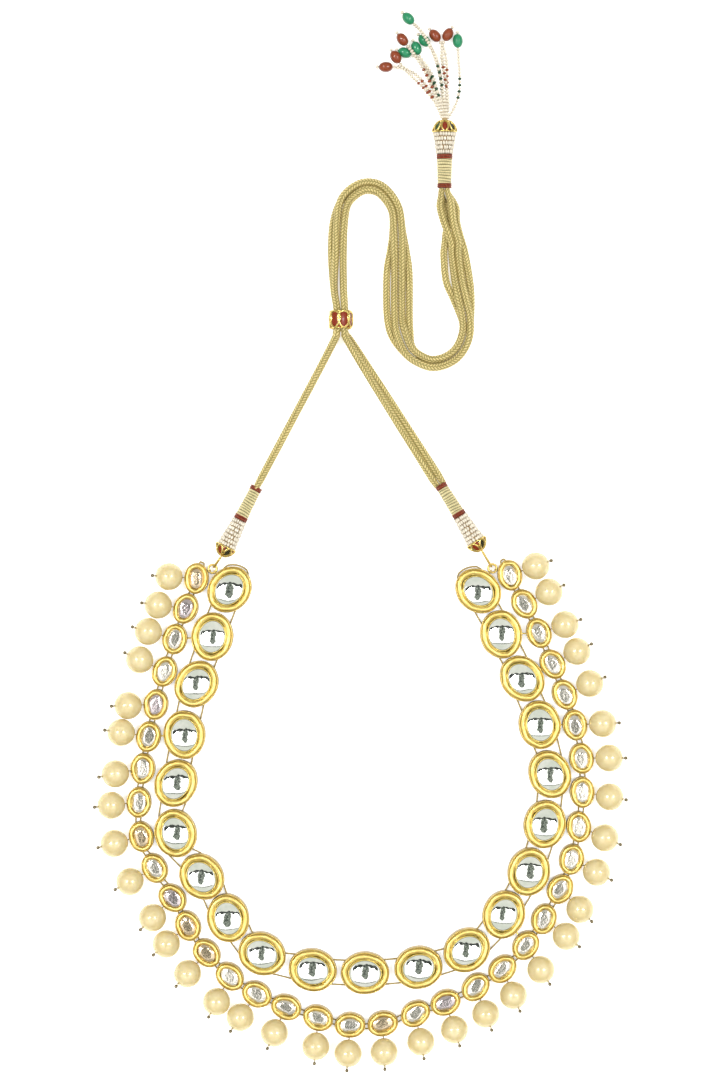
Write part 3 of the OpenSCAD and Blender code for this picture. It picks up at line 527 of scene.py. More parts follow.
def foil_material(name, look):
    """Silver foil under polished glass: a bright mirror, faintly green and wavy."""
    material, tree = start_material(name)
    rough = look.foil_roughness
    mm = coordinates(tree)
    slow = noise(tree, mm, 0.28, 2)
    fine = noise(tree, mm, 1.3, 3)
    base = mixed(tree, spread(tree, slow, 0.35, 0.65), colour(look.foil_color), (0.93, 0.94, 0.9))
    height = maths(tree, "ADD", slow, maths(tree, "MULTIPLY", fine, 0.1))
    finish_material(
        tree, Base_Color=base, Metallic=1.0,
        Roughness=spread(tree, fine, 0.3, 0.7, rough * 0.6, rough * 1.5),
        Coat_Weight=0.35, Coat_Roughness=0.03, Normal=bumped(tree, height, look.foil_wave),
    )
    return material


def pearl_material(name, look):
    """Cream nacre: a soft body with deeper patches under a golden coat."""
    material, tree = start_material(name)
    mm = coordinates(tree)
    patches = spread(tree, noise(tree, mm, 0.35, 3), 0.35, 0.65)
    base = mixed(tree, patches, colour(look.pearl_patch_color), colour(look.pearl_color))
    finish_material(
        tree, Base_Color=base, Roughness=0.19, Subsurface_Weight=0.2, Subsurface_Scale=0.0012,
        Subsurface_Radius=(1.0, 0.7, 0.35), Specular_IOR_Level=0.95, Coat_Weight=1.0, Coat_Roughness=0.22,
        Coat_IOR=1.4, Coat_Tint=(0.93, 0.86, 0.62, 1.0),
        Normal=bumped(tree, noise(tree, mm, 1.2, 2), 0.006),
    )
    return material


def zari_material(name, bright, dark, lines_scale=2.2, metallic=0.35):
    """Metal thread: painted highlight on stitch crowns, painted shade between, fine turns, painted glints."""
    material, tree = start_material(name)
    mm = coordinates(tree)
    height = attribute(tree, "stitch")
    grain = noise(tree, mm, 6.0, 3, 0.7)
    painted_glints = spread(tree, noise(tree, mm, 9.0, 1), 0.62, 0.72)
    # Painted light and shade: the bright colour is the thread's own, lifted on the crowns as painted
    # highlight; the dark one is painted shade.
    crown = spread(tree, height, 0.15, 0.7)
    base = mixed(tree, crown, dark, bright)
    base = mixed(tree, spread(tree, grain, 0.35, 0.7, 0.0, 0.35), base, tuple(c * 0.55 for c in bright))
    # Painted glints: pale specks mixed in where a thresholded noise peaks.
    base = mixed(tree, maths(tree, "MULTIPLY", painted_glints, 0.4), base, (1.0, 0.95, 0.6))
    lines = put(tree, "TexWave", wave_type="BANDS", bands_direction="X", Scale=lines_scale, Distortion=0.6,
                Vector=attribute(tree, "turns", "Vector")).outputs["Fac"]
    relief = maths(tree, "ADD", lines, maths(tree, "MULTIPLY", grain, 0.8))
    finish_material(
        tree, Base_Color=base, Metallic=metallic, Roughness=spread(tree, grain, 0.3, 0.7, 0.38, 0.6),
        Specular_IOR_Level=0.3, Normal=bumped(tree, relief, 0.05),
    )
    return material


def card_material(name, rgb, strength=1.0):
    """A plain light or dark card for the stones to mirror."""
    material, tree = start_material(name)
    finish_material(tree, "Emission", Color=rgb, Strength=strength)
    return material


# Settings a user would change

def size_setting(name, text, default, low, high):
    """A length in millimetres, kept in metres."""
    return bpy.props.FloatProperty(
        name=name, description=text, default=default * MM, min=low * MM, max=high * MM,
        subtype="DISTANCE", unit="LENGTH", precision=5)


def share_setting(name, text, default):
    """A share from 0 to 1."""
    return bpy.props.FloatProperty(
        name=name, description=text, default=default, min=0, max=1, subtype="FACTOR")


def number_setting(name, text, default, low, high, unit="NONE"):
    """A number between two limits."""
    return bpy.props.FloatProperty(
        name=name, description=text, default=default, min=low, max=high, precision=4, unit=unit)


def colour_setting(name, text, default):
    """A colour of red, green and blue."""
    return bpy.props.FloatVectorProperty(
        name=name, description=text, default=default, size=3, min=0, max=1, subtype="COLOR")


class NecklaceLook(bpy.types.PropertyGroup):
    """Sizes and colours of the necklace's pieces."""
    gold_color: colour_setting("Gold", "Colour of the burnished gold rims", (0.81, 0.625, 0.215))
    # Painted shade: the colour painted into the rims' grooves and onto their side walls.
    crease_shade_color: colour_setting("Gold creases", "Colour of grooves and side walls", (0.15, 0.095, 0.022))
    gold_roughness: share_setting("Gold roughness", "How matt the gold rims are", 0.33)
    rim_wave: size_setting("Rim unevenness", "How far a rim wanders from a true oval", 0.11, 0, 0.3)
    foil_color: colour_setting("Foil", "Colour of the foil behind the large stones", (0.80, 0.84, 0.78))
    foil_roughness: share_setting("Foil roughness", "How blurred a large stone's mirror is", 0.06)
    foil_wave: size_setting("Foil ripple", "Depth of the ripples in the large stones' foil", 0.035, 0, 0.3)
    dome_radius: size_setting("Dome radius", "Radius of curvature of a large stone's top", 13.5, 8, 30)
    stone_lean: number_setting(
        "Stone lean", "Slope of a large stone for each millimetre from the middle", 0.0004, 0, 0.002)
    pearl_color: colour_setting("Pearl", "Colour of the pearls", (0.80, 0.74, 0.62))
    pearl_patch_color: colour_setting("Pearl patches", "Deeper colour of a pearl", (0.74, 0.66, 0.49))
    # Painted light: the braid colour is lifted on the stitch crowns as painted highlight; the gap colour is
    # painted shade between them.
    zari_color: colour_setting("Braid", "Colour of a braid on its stitches", (0.96, 0.81, 0.38))
    zari_gap_shade_color: colour_setting("Braid gaps", "Colour between a braid's stitches", (0.32, 0.245, 0.06))
    stitch_length: size_setting("Stitch length", "Length of one stitch of a braided cord", 1.12, 0.6, 3)
    # Painted light: the winding colour is lifted on the ridges as painted highlight; the gap colour is
    # painted shade between turns.
    winding_color: colour_setting("Winding", "Colour of a terminal's winding", (1.0, 0.89, 0.52))
    winding_gap_shade_color: colour_setting("Winding gaps", "Colour between a winding's turns", (0.15, 0.12, 0.03))
    seed_color: colour_setting("Seed beads", "Colour of the white seed beads", (0.94, 0.92, 0.89))
    seed_size: size_setting("Seed bead size", "Width of a seed bead on the cones", 1.35, 0.8, 2)
    red_color: colour_setting("Red thread", "Colour of the thread bands", (0.30, 0.036, 0.011))
    green_color: colour_setting("Green beads", "Colour of the green tassel beads", (0.04, 0.52, 0.235))
    brown_color: colour_setting("Brown beads", "Colour of the brown-red tassel beads", (0.52, 0.10, 0.032))
    camera_lens: number_setting("Lens", "Focal length of the camera", 80, 30, 200, "CAMERA")
    lamp_strength: number_setting("Lamps", "Brightness of the two small lamps", 48, 0, 200)
    card_strength: number_setting("Light cards", "Brightness of the two light cards", 2, 0, 20)
    sky_strength: number_setting("Surroundings", "Brightness of the pale surroundings", 0.86, 0, 5)


def cached(name, maker, *args, **kwargs):
    """The material of that name, made the first time it is asked for."""
    return bpy.data.materials.get(name) or maker(name, *args, **kwargs)


def rim_gold(look):
    """The rims' burnished gold, with painted shade in its creases."""
    return cached("burnished_gold", gold_material, colour(look.gold_color), colour(look.crease_shade_color),
                  look.gold_roughness, "crease")


def wire_gold(look):
    """The smoother gold of the row ties."""
    return cached("wire_gold", gold_material, colour(look.gold_color), colour(look.crease_shade_color),
                  0.22, None, 0.008)


# Stage

OVERHEAD = 3800.0  # height of the boom and the stand
TABLE_HALF, TABLE_TOP = 12000, -0.05
WALL_R, WALL_FOOT, WALL_TOP = 6000, -5.0, 3600.0
DARK_CLOTH, GREY_CLOTH, WALL_CLOTH = (0.045, 0.05, 0.045), (0.20, 0.21, 0.19), (0.20, 0.18, 0.13)


def light_card(name, x, y, z, rgb, strength):
    """A card overhead at height z, from and to the given angles off the vertical."""
    x0, x1, y0, y1 = (math.tan(math.radians(a)) * z for a in (*x, *y))
    card = Surface([(x0, y0, z), (x0, y1, z), (x1, y1, z), (x1, y0, z)], [(0, 1, 2, 3)])
    stage_piece(name, card, card_material(name, rgb, strength))


def strip(name, along, low, high, upright, material):
    """A band overhead between two edges, low and high, at each place along it, all in degrees off the
    vertical; an upright band runs up the picture and the other across it."""
    t = np.tan(np.radians(np.stack([along, along])))
    edges = np.tan(np.radians(np.stack([low, high])))
    x, y = (edges, t) if upright else (t, edges)
    points = np.stack([x, y, np.ones(x.shape)], -1) * OVERHEAD
    count = len(along)
    i = np.arange(count - 1)
    quads = np.stack([i, i + 1, i + 1 + count, i + count], -1)
    stage_piece(name, Surface(points, quads), material)


def stand_and_boom():
    """The dark stand between the light cards and the boom across its top, which the stones mirror: the
    boom sags by the square of the way out and thickens, and the stand's sides wander by sines."""
    mottled, tree = start_material("stand_cloth")
    patches = spread(tree, noise(tree, coordinates(tree), 0.0032, 4, 0.7), 0.42, 0.6)
    finish_material(tree, "Emission", Color=mixed(tree, patches, (0.06, 0.07, 0.06), (0.42, 0.46, 0.40)))
    x = np.linspace(-41, 42, 60)
    centre = 18.0 - 7.0 * (np.abs(x) / 38) ** 2 + 0.9 * np.sin(x / 4.3) + 0.4 * np.sin(x / 1.9)
    half = 3.0 + 3.8 * (np.abs(x) / 38) ** 2 + 0.9 * np.sin(x / 2.7 + 1)
    strip("dark_boom", x, centre - half, centre + half, False, card_material("boom_cloth", DARK_CLOTH))
    y = np.linspace(-24, 19, 50)
    half = 9.6 * np.sqrt(np.clip((y + 25.5) / 12, 0, 1)) + 1.1 * np.sin(y / 3.3) + 0.7 * np.sin(y / 1.3)
    drift = 1.2 * np.sin(y / 7.0)
    strip("dark_stand", y, drift - half, drift + half, True, mottled)


def make_stage(look):
    """A bright table, pale surroundings with a darker wall low down, two light cards with a dark stand
    between them, two small lamps, and the camera."""
    corners = [(x * TABLE_HALF, y * TABLE_HALF, TABLE_TOP) for x, y in ((-1, -1), (1, -1), (1, 1), (-1, 1))]
    white, tree = start_material("white_table")
    grain = noise(tree, coordinates(tree), 0.02, 2)
    finish_material(
        tree, Base_Color=mixed(tree, grain, (0.93, 0.93, 0.93), (0.96, 0.96, 0.96)), Roughness=0.85,
        Emission_Color=(1.0, 1.0, 1.0, 1.0), Emission_Strength=0.55, Specular_IOR_Level=0.2)
    stage_piece("floor", Surface(corners, [(0, 1, 2, 3)]), white, seen=True)

    light_card("light_card_left", (-44, 0.5), (-31, 19), 4000, (1.0, 1.0, 0.99), look.card_strength)
    light_card("light_card_right", (0.5, 44), (-31, 19), 4000, (1.0, 1.0, 0.99), look.card_strength)
    light_card("lamp_-1", (-31, -20), (3, 13), 3950, (1.0, 0.99, 0.96), look.lamp_strength)
    light_card("lamp_1", (20, 31), (3, 13), 3950, (1.0, 0.99, 0.96), look.lamp_strength)
    light_card("grey_edge", (-36, 36), (-34, -31), 3900, GREY_CLOTH, 1.0)
    stand_and_boom()
    t = round_turn(32)
    wall = np.stack([
        np.stack([WALL_R * np.sin(t), WALL_R * np.cos(t), 0 * t + z], -1) for z in (WALL_FOOT, WALL_TOP)
    ])
    stage_piece("dark_wall", grid(wall, close_ends=False), card_material("wall_cloth", WALL_CLOTH))

    world = bpy.data.worlds.new("pale_room")
    world.use_nodes = True
    tree = world.node_tree
    tree.nodes.clear()
    sky = tree.nodes.new("ShaderNodeBackground")
    sky.inputs["Color"].default_value = (0.96, 0.97, 0.89, 1)
    sky.inputs["Strength"].default_value = look.sky_strength
    tree.links.new(sky.outputs[0], tree.nodes.new("ShaderNodeOutputWorld").inputs[0])
    scene = bpy.context.scene
    scene.world = world

    data = bpy.data.cameras.new("camera")
    data.lens = look.camera_lens
    data.sensor_width = SENSOR
    camera = bpy.data.objects.new("camera", data)
    camera.location = (0, 0, (look.camera_lens / SENSOR * IMAGE_HEIGHT + UPPER_SIDE) * MM)
    scene.collection.objects.link(camera)
    scene.camera = camera
    scene.view_settings.view_transform = "Standard"


# Cords

COLUMNS = 6
CORD_D, CORD_END_D, END_REACH = 2.6, 1.86, 5.0  # a cord narrows over the reach at each end
CORD_STEP, CORD_SIDES = 0.26, 42
CORD_LOW, CORD_SWELL = 0.935, 0.14  # shares of the radius: between the stitches, and what a stitch adds
STITCH_LEAN = 0.9  # how far a stitch leans across its column, in stitches


def cord_path(name):
    """A cord's centre line, in millimetres."""
    return smooth_path(CORD_ROUTES[name], CORD_STEP)


def make_cords(look):
    """Braided cords. Round the cord run six columns of stitches, which lean in turn to either side, so
    that they meet in chevrons: the radius swells by sin(pi f) across a column and cos(2 pi p) along it,
    with p the distance in stitches plus or minus the lean times f."""
    material = cached("plaited_metal_thread", zari_material, colour(look.zari_color),
                      colour(look.zari_gap_shade_color))
    stitch = look.stitch_length / MM
    for name in CORD_ROUTES:
        path = cord_path(name)
        s = np.linspace(0, path_length(path), len(path))
        ends = np.clip(np.minimum(s, s[-1] - s) / END_REACH, 0, 1)
        radius = (CORD_END_D + (CORD_D - CORD_END_D) * ends) / 2
        rng = np.random.default_rng(ord(name))
        twist = 0.5 * np.sin(s / 31 + rng.uniform(0, 6)) + 0.3 * np.sin(s / 11 + rng.uniform(0, 6))
        t = np.arange(CORD_SIDES) / CORD_SIDES * COLUMNS
        u = (t[None] + twist[:, None]) % COLUMNS
        f = u % 1
        lean = np.where(np.floor(u) % 2 == 0, 1.0, -1.0)
        uneven = 0.25 * np.sin(s / 3.7 + rng.uniform(0, 6))[:, None]
        phase = s[:, None] / stitch + lean * STITCH_LEAN * (f - 0.5) + 0.25 * lean + uneven
        height = np.sqrt(np.sin(np.pi * f)) * (0.5 + 0.5 * np.cos(2 * np.pi * phase)) ** 0.7
        turns = np.stack([phase, f * 3, np.zeros_like(f)], -1)
        # The stitch height also drives the braid's painted highlight on the crowns and painted shade between
        # them.
        cord = tube(path, radius[:, None] * (CORD_LOW + CORD_SWELL * height), CORD_SIDES, stitch=height)
        cord.values["turns"] = np.concatenate([turns.reshape(-1, 3), turns[:1].mean(1), turns[-1:].mean(1)])
        make_piece(f"braided_cord_{name}", cord, material, f"cord_{name}")


def declare_cords():
    """Works out each cord's length and lists its far end and what is on it, but uses none of it."""
    kinds = ("bands", "winding", "cone", "cap")
    groups = {
        "a": ("fitting", [f"{kind}_tassel" for kind in kinds]),
        "b": ("object", [f"{kind}_right" for kind in kinds]),
        "c": ("object", ["slider_bead"]),
        "d": ("object", [f"{kind}_left" for kind in kinds]),
    }
    for name, (far_end, others) in groups.items():
        path = cord_path(name) * MM
        path_length(path)


# Settings and stones

MAIN_SIZE = (17.8, 15.38, 2.5, 4.6)  # length, width, breadth of the rim and height
SMALL_SIZE = (11.4, 9.11, 2.02, 4.4)
MAIN_COUNT = 21
DOME_TOP, DOME_FOOT, DOME_GAP = 5.65, 2.6, 0.04  # the gap is how far a stone goes under its rim
# A cut stone: half its length and width, heights of its foot and edge, and height for each 1 of a plane;
# the higher the hardness, the sharper the edges between its facets
CUT_A, CUT_B, CUT_FOOT, CUT_EDGE, CUT_RISE = 3.72, 2.58, 2.5, 3.0, 1.75
CUT_HARDNESS = 26.0
SILVER_STONE, PINK_STONE, AMBER_STONE = (0.74, 0.70, 0.63), (0.52, 0.46, 0.47), (0.60, 0.48, 0.33)
PINK_STONES, AMBER_STONES = (2, 5, 11, 21), (1, 9, 12, 13, 19)
# Radii of the wire's middle line and of the wire: an end setting's eye, a junction ring, and a link's ends
EYE_R, EYE_WIRE = 0.66, 0.25
JUNCTION_R, JUNCTION_WIRE = 1.5, 0.44
LINK_R, LINK_SOLID_WIRE, LINK_WIRE = 0.66, 0.25, 0.42  # the solid's wire is thinner than the one made here
WIRE_CREASE_SHADE = 0.15  # share of the painted crease shade, even all over a wire

# A rim from its back to its seat: [in from the edge, height, share of painted crease shade,
# share of unevenness], for a rim as broad and high as a main one
RIM_ROWS = np.array([
    (4.6, 0.0, 0.2, 0), (0.4, 0.0, 0.5, 0), (0.1, 0.1, 0.8, 0), (0.0, 0.35, 0.9, 0), (0.0, 1.5, 0.8, 0),
    (0.0, 2.6, 0.75, 0), (0.0, 3.3, 0.9, 0), (0.03, 3.72, 0.9, 0.2), (0.11, 4.0, 0.45, 0.3),
    (0.24, 4.12, 0.0, 0.4), (0.35, 4.06, 0.5, 0.6), (0.43, 3.94, 1.0, 0.8), (0.51, 4.06, 0.5, 0.8),
    (0.66, 4.31, 0.05, 0.8), (0.9, 4.49, 0.0, 0.8), (1.2, 4.57, 0.0, 0.8), (1.5, 4.58, 0.0, 0.8),
    (1.8, 4.5, 0.0, 0.8), (2.05, 4.34, 0.0, 0.9), (2.26, 4.1, 0.02, 1.0), (2.4, 3.87, 0.15, 1.1),
    (2.5, 3.6, 0.6, 1.1), (2.58, 3.1, 0.9, 1.0), (4.6, 3.1, 1.0, 0),
])


def oval(t, length, width, inset):
    """An ellipse drawn in along its own normal by the inset at each row: points of row and column."""
    a, b = length / 2, width / 2
    edge = np.stack([a * np.cos(t), b * np.sin(t)], -1)
    normal = unit(np.stack([np.cos(t) / a, np.sin(t) / b], -1))
    return edge[None] - np.asarray(inset)[..., None] * normal[None]


def rim_surface(length, width, band, height, columns, rng, wave):
    """A gold rim: its profile carried round an oval, with hand-made unevenness of edge and height."""
    t = round_turn(columns)
    rows = RIM_ROWS * (band / MAIN_SIZE[2], height / MAIN_SIZE[3], 1, 1)
    rows[0, 0] = rows[-1, 0] = min(RIM_ROWS[0, 0], width / 2 - 1.2)
    outline = waves(t, rng, wave * 0.6)
    lip = waves(t, rng, wave * 1.3)
    lift = waves(t, rng, wave * 0.8, (3, 5, 7, 11))
    hammer = waves(t, rng, wave * 0.5, (9, 13, 17, 23))
    uneven = rows[:, 3:]
    inset = rows[:, :1] + np.abs(outline) + uneven * lip + np.zeros((len(rows), columns))
    z = rows[:, 1:2] + uneven * (lift * 0.5 + hammer * 0.4)
    xy = oval(t, length, width, inset)
    points = np.concatenate([xy, z[..., None]], -1)
    # Painted shade: each row's share of the crease colour, which darkens the groove and the side walls.
    crease = np.broadcast_to(rows[:, 2:3], inset.shape)
    return grid(points, crease=crease)


def dome_surface(length, width, band, dome_r, lean, rng):
    """A cushion dome: its top less R - sqrt(R^2 - r^2), plus a slope in x and y, rolled at its edge."""
    t = round_turn(84)
    edge = oval(t, length, width, np.full((1, len(t)), band - DOME_GAP))[0]
    shoulder = [1.0, 1.0, 0.99, 0.975, 0.955, 0.93, 0.9, 0.86]
    rho = np.concatenate([shoulder, np.linspace(0.8, 0.04, 20)])[:, None]
    xy = rho[..., None] * edge[None]
    x, y = xy[..., 0], xy[..., 1]
    r = np.hypot(x, y)
    tilt = lean + rng.uniform(-0.04, 0.04, 2)
    roll = 0.95 * np.clip((rho - 0.88) / 0.12, 0, 1) ** 2.2
    swell = 0.012 * (np.sin(x * 1.1 + rng.uniform(0, 6)) + np.sin(y * 1.4 + rng.uniform(0, 6)))
    z = DOME_TOP - (dome_r - np.sqrt(dome_r ** 2 - r ** 2)) - roll + tilt[0] * x + tilt[1] * y + swell
    z[0] = DOME_FOOT
    return grid(np.stack([x, y, z], -1))


def main_places():
    """Centres and headings of the main row, from its stones."""
    places = []
    for k in range(1, MAIN_COUNT + 1):
        points, _ = node_mesh(f"stone_{k:02d}")
        axis = long_axis(points)
        places.append((middle(points)[:2], math.atan2(axis[1], axis[0])))
    return places


def torus(ring_r, wire_r, turn, place, sides=12, around=32):
    """Wire of radius wire_r round a circle of radius ring_r, whose axis is the turn's Z."""
    a = round_turn(around)
    path = np.stack([ring_r * np.cos(a), ring_r * np.sin(a), 0 * a], -1)
    # The wire takes an even share of painted crease shade.
    return tube(path, wire_r, sides, closed=True, crease=WIRE_CREASE_SHADE).at(turn, place)


def lies_flat(points):
    """Whether a loose part of the end links is a junction ring, which lies flat, or an upright link."""
    return np.ptp(points[:, 2]) < 0.8


def junctions():
    """The centres of the two junction rings, left then right."""
    return sorted((middle(p) for p in loose_parts("end_links") if lies_flat(p)), key=lambda c: c[0])


def ring_eye(centre, ring):
    """An upright eye on an end setting, round the junction ring's wire."""
    way = np.array([*unit(ring[:2] - centre), 0.0])
    across = np.array([-way[1], way[0], 0.0])
    turn = np.stack([way, np.cross(across, way), across], -1)
    return torus(EYE_R, EYE_WIRE, turn, ring - JUNCTION_R * way)


def make_main_settings(look):
    """The 21 large gold rims, each with its own unevenness; the end ones carry an eye."""
    gold = rim_gold(look)
    left, right = junctions()
    for k, (centre, angle) in enumerate(main_places(), 1):
        rng = np.random.default_rng(100 + k)
        rim = rim_surface(*MAIN_SIZE, 96, rng, look.rim_wave / MM).at(spin(angle), [(*centre, 0.0)])
        if k in (1, MAIN_COUNT):
            rim = joined([rim, ring_eye(centre, left if k == 1 else right)])
        make_piece(f"gold_rim_{k:02d}", rim, gold, f"setting_{k:02d}")


def make_main_stones(look):
    """The 21 domed stones over silver foil."""
    foil = cached("silver_foil", foil_material, look)
    length, width, band, _ = MAIN_SIZE
    for k, (centre, angle) in enumerate(main_places(), 1):
        rng = np.random.default_rng(200 + k)
        lean = look.stone_lean * (centre @ spin(angle)[0][:2, :2])
        dome_r = look.dome_radius / MM * rng.uniform(0.94, 1.08)
        dome = dome_surface(length, width, band, dome_r, lean, rng).at(spin(angle), [(*centre, 0.0)])
        make_piece(f"domed_stone_{k:02d}", dome, foil, f"stone_{k:02d}")


def small_places():
    """Centres and headings of the outer row, in order from the left end, from its stones."""
    parts = loose_parts("outer_stones")
    centres = np.array([middle(p) for p in parts])
    axes = np.array([long_axis(p) for p in parts])
    order = by_row(centres)
    return centres[order, :2], np.arctan2(axes[order, 1], axes[order, 0])


def make_outer_settings(look):
    """The 36 small gold rims in one piece; the end ones carry an eye."""
    centres, angles = small_places()
    wave = look.rim_wave / MM * 0.8
    rims = []
    for k, (centre, angle) in enumerate(zip(centres, angles)):
        rim = rim_surface(*SMALL_SIZE, 56, np.random.default_rng(300 + k), wave)
        rims.append(rim.at(spin(angle), [(*centre, 0.0)]))
    left, right = junctions()
    rims += [ring_eye(centres[0], left), ring_eye(centres[-1], right)]
    make_piece("small_gold_rims", joined(rims), rim_gold(look), "outer_settings")


def cut_surface(rng, tint):
    """A low cut stone: the lowest of a tilted table and eight facet planes over an ellipse, with the
    edges between them softened by a smooth minimum."""
    t = round_turn(40)
    rho = np.concatenate([[1.0, 1.0], np.linspace(0.94, 0.06, 14)])[:, None]
    x, y = rho * np.cos(t), rho * np.sin(t)
    start = rng.uniform(0, 2 * np.pi)
    ways = start + np.arange(8) * np.pi / 4 + rng.uniform(-0.2, 0.2, 8)
    planes = [0.62 + rng.uniform(-0.07, 0.07) * x + rng.uniform(-0.07, 0.07) * y]
    for way in ways:
        out = x * math.cos(way) + y * math.sin(way)
        planes.append(rng.uniform(1.02, 1.16) - rng.uniform(0.62, 0.8) * out)
    z = CUT_EDGE - CUT_RISE * np.log(sum(np.exp(-CUT_HARDNESS * p) for p in planes)) / CUT_HARDNESS
    z[0] = CUT_FOOT
    return grid(np.stack([CUT_A * x, CUT_B * y, z], -1), tint=np.broadcast_to(tint, (*x.shape, 3)))


def make_outer_stones(look):
    """The 36 small cut stones in one piece, most of them silvery, some pink, lilac or champagne."""
    centres, angles = small_places()
    stones = []
    for k, (centre, angle) in enumerate(zip(centres, angles), 1):
        rng = np.random.default_rng(400 + k)
        tint = np.array(SILVER_STONE) * rng.uniform(0.86, 1.1)
        if k in PINK_STONES + AMBER_STONES:
            tint = PINK_STONE if k in PINK_STONES else AMBER_STONE
        stones.append(cut_surface(rng, tint).at(spin(angle), [(*centre, 0.0)]))
    material = cached("tinted_foil", tinted_material, 0.17, 0.085, 0.8, metallic=1.0, coat=0.3)
    make_piece("small_cut_stones", joined(stones), material, "outer_stones")


# Pearls and pins

PEARL_R, DIMPLE, DIMPLE_REACH = 5.0, 0.12, 0.13  # the reach is in radians off the pin
PIN_R, STUB_R, PIN_BALL_R = 0.2, 0.38, 0.65
PIN_EYE_R, PIN_EYE_WIRE = 0.48, 0.2
PALE_STUB, PIN_METAL, PIN_TIP = (0.66, 0.60, 0.47), (0.60, 0.42, 0.13), (0.22, 0.18, 0.11)


def pin_places():
    """For each pearl: its centre, the outward direction of its pin, and the pin's two ends along it."""
    pearls = np.array([middle(p) for p in loose_parts("pearls")])
    pearls = pearls[by_row(pearls)]
    pins = loose_parts("head_pins")
    pins = [pins[k] for k in by_row(np.array([middle(p) for p in pins]))]
    places = []
    for pearl in pearls:
        pin = min(pins, key=lambda p: np.linalg.norm(p.mean(0) - pearl))
        axis = long_axis(pin)
        reach = (pin - pearl) @ axis
        if abs(reach.min()) > reach.max():
            axis, reach = -axis, -reach
        if axis[:2] @ (pearl[:2] - ROW_MIDDLE) < 0:
            axis, reach = -axis, -reach
        places.append((pearl, axis, reach.min(), reach.max()))
    return places


def make_pearls(look):
    """The 36 pearls: spheres with their poles on the pin and a dimple at each drill hole."""
    places = pin_places()
    t = np.linspace(0.06, np.pi - 0.06, 22)
    hole = np.exp(-(t / DIMPLE_REACH) ** 2) + np.exp(-((np.pi - t) / DIMPLE_REACH) ** 2)
    radius = PEARL_R - DIMPLE * hole
    ball = turned(np.stack([radius * np.sin(t), -radius * np.cos(t)], 1), 32)
    pearls = ball.at(frames_to(np.array([p[1] for p in places])), [p[0] for p in places])
    make_piece("cream_pearls", pearls, cached("cream_nacre", pearl_material, look), "pearls")


def make_head_pins(look):
    """Head pins: an eye, a wire through the pearl, a pale stub past it and a ball at the end."""
    pins = []
    sides = 14
    a = np.linspace(0.15, np.pi - 0.15, 9)
    for pearl, axis, low, high in pin_places():
        eye = low + PIN_EYE_R + PIN_EYE_WIRE
        ball = high - PIN_BALL_R
        rows = np.concatenate([
            [(PIN_R, eye + 0.4), (PIN_R, PEARL_R), (STUB_R, PEARL_R + 0.02), (STUB_R + 0.02, PEARL_R + 0.3),
             (STUB_R - 0.02, ball - 0.62), (0.3, ball - 0.6)],
            np.stack([PIN_BALL_R * np.sin(a), ball - PIN_BALL_R * np.cos(a)], 1),
        ])
        shaft = turned(rows, sides)
        tint = np.repeat([PIN_METAL] * 2 + [PALE_STUB] * 3 + [PIN_TIP] * (len(rows) - 5), sides, 0)
        shaft.values["tint"] = np.concatenate([tint, tint[:1], tint[-1:]])
        x, y, z = frames_to(axis)[0].T
        loop = torus(PIN_EYE_R, PIN_EYE_WIRE, np.stack([z, y, -x], -1), pearl + eye * axis, 10, 20)
        pins += [shaft.at(frames_to(axis), [pearl]), painted(loop, PIN_METAL)]
    material = cached("pin_wire", tinted_material, 0.3, 0.01, 2.5, metallic=0.85)
    make_piece("ball_head_pins", joined(pins), material, "head_pins")


# Links, threads and ties

def make_links(look):
    """Junction rings and long links as round wire; the row threads and ties only get new finishes."""
    shapes = []
    for part in loose_parts("end_links"):
        centre = middle(part)
        if lies_flat(part):
            shapes.append(torus(JUNCTION_R, JUNCTION_WIRE, np.eye(3), centre, 14, 40))
            continue
        axes = np.linalg.eigh(np.cov((part - part.mean(0)).T))[1]
        u, v = axes[:, -1], axes[:, -2]
        half = np.abs((part - centre) @ u).max() - LINK_R - LINK_SOLID_WIRE
        q = np.linspace(-np.pi / 2, np.pi / 2, 14)
        arc = np.stack([np.cos(q), np.sin(q)], -1) * LINK_R
        flat = np.concatenate([arc + (half, 0), -arc - (half, 0)])
        path = centre + flat[:, :1] * u + flat[:, 1:] * v
        # The wire takes an even share of painted crease shade.
        shapes.append(tube(path, LINK_WIRE, 12, up=np.cross(u, v), closed=True, crease=WIRE_CREASE_SHADE))
    make_piece("end_link_wires", joined(shapes), rim_gold(look), "end_links")
    twine = cached("row_cord", twine_material, (0.44, 0.32, 0.10))
    for node, material in (("row_threads", twine), ("row_ties", wire_gold(look))):
        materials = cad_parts[node].data.materials
        for k in range(len(materials)):
            materials[k] = material


# Terminals

WINDING_TURN, BAND_TURN = (0.98, 0.34), (0.78, 0.24)  # pitch and depth of a turn of thread
BAND_RISE = 0.06
# The last number is how many painted glints run round each turn of thread.
ROWS_A_TURN, RIDGE_SIDES, PLY_GLINTS = 9, 72, 20
ROW_ROOM, BEAD_ROOM = 1.17, 0.8  # height of a cone's row and room for a bead in it, in bead sizes
BEAD_WIDTH, BEAD_LENGTH, BEAD_SINK = 0.88, 0.97, 0.42  # shares of a bead's room, and of its width
CONE_FOOT, CONE_HEAD = 0.2, 0.05  # a cone stands out past the waist and stays short of the cap
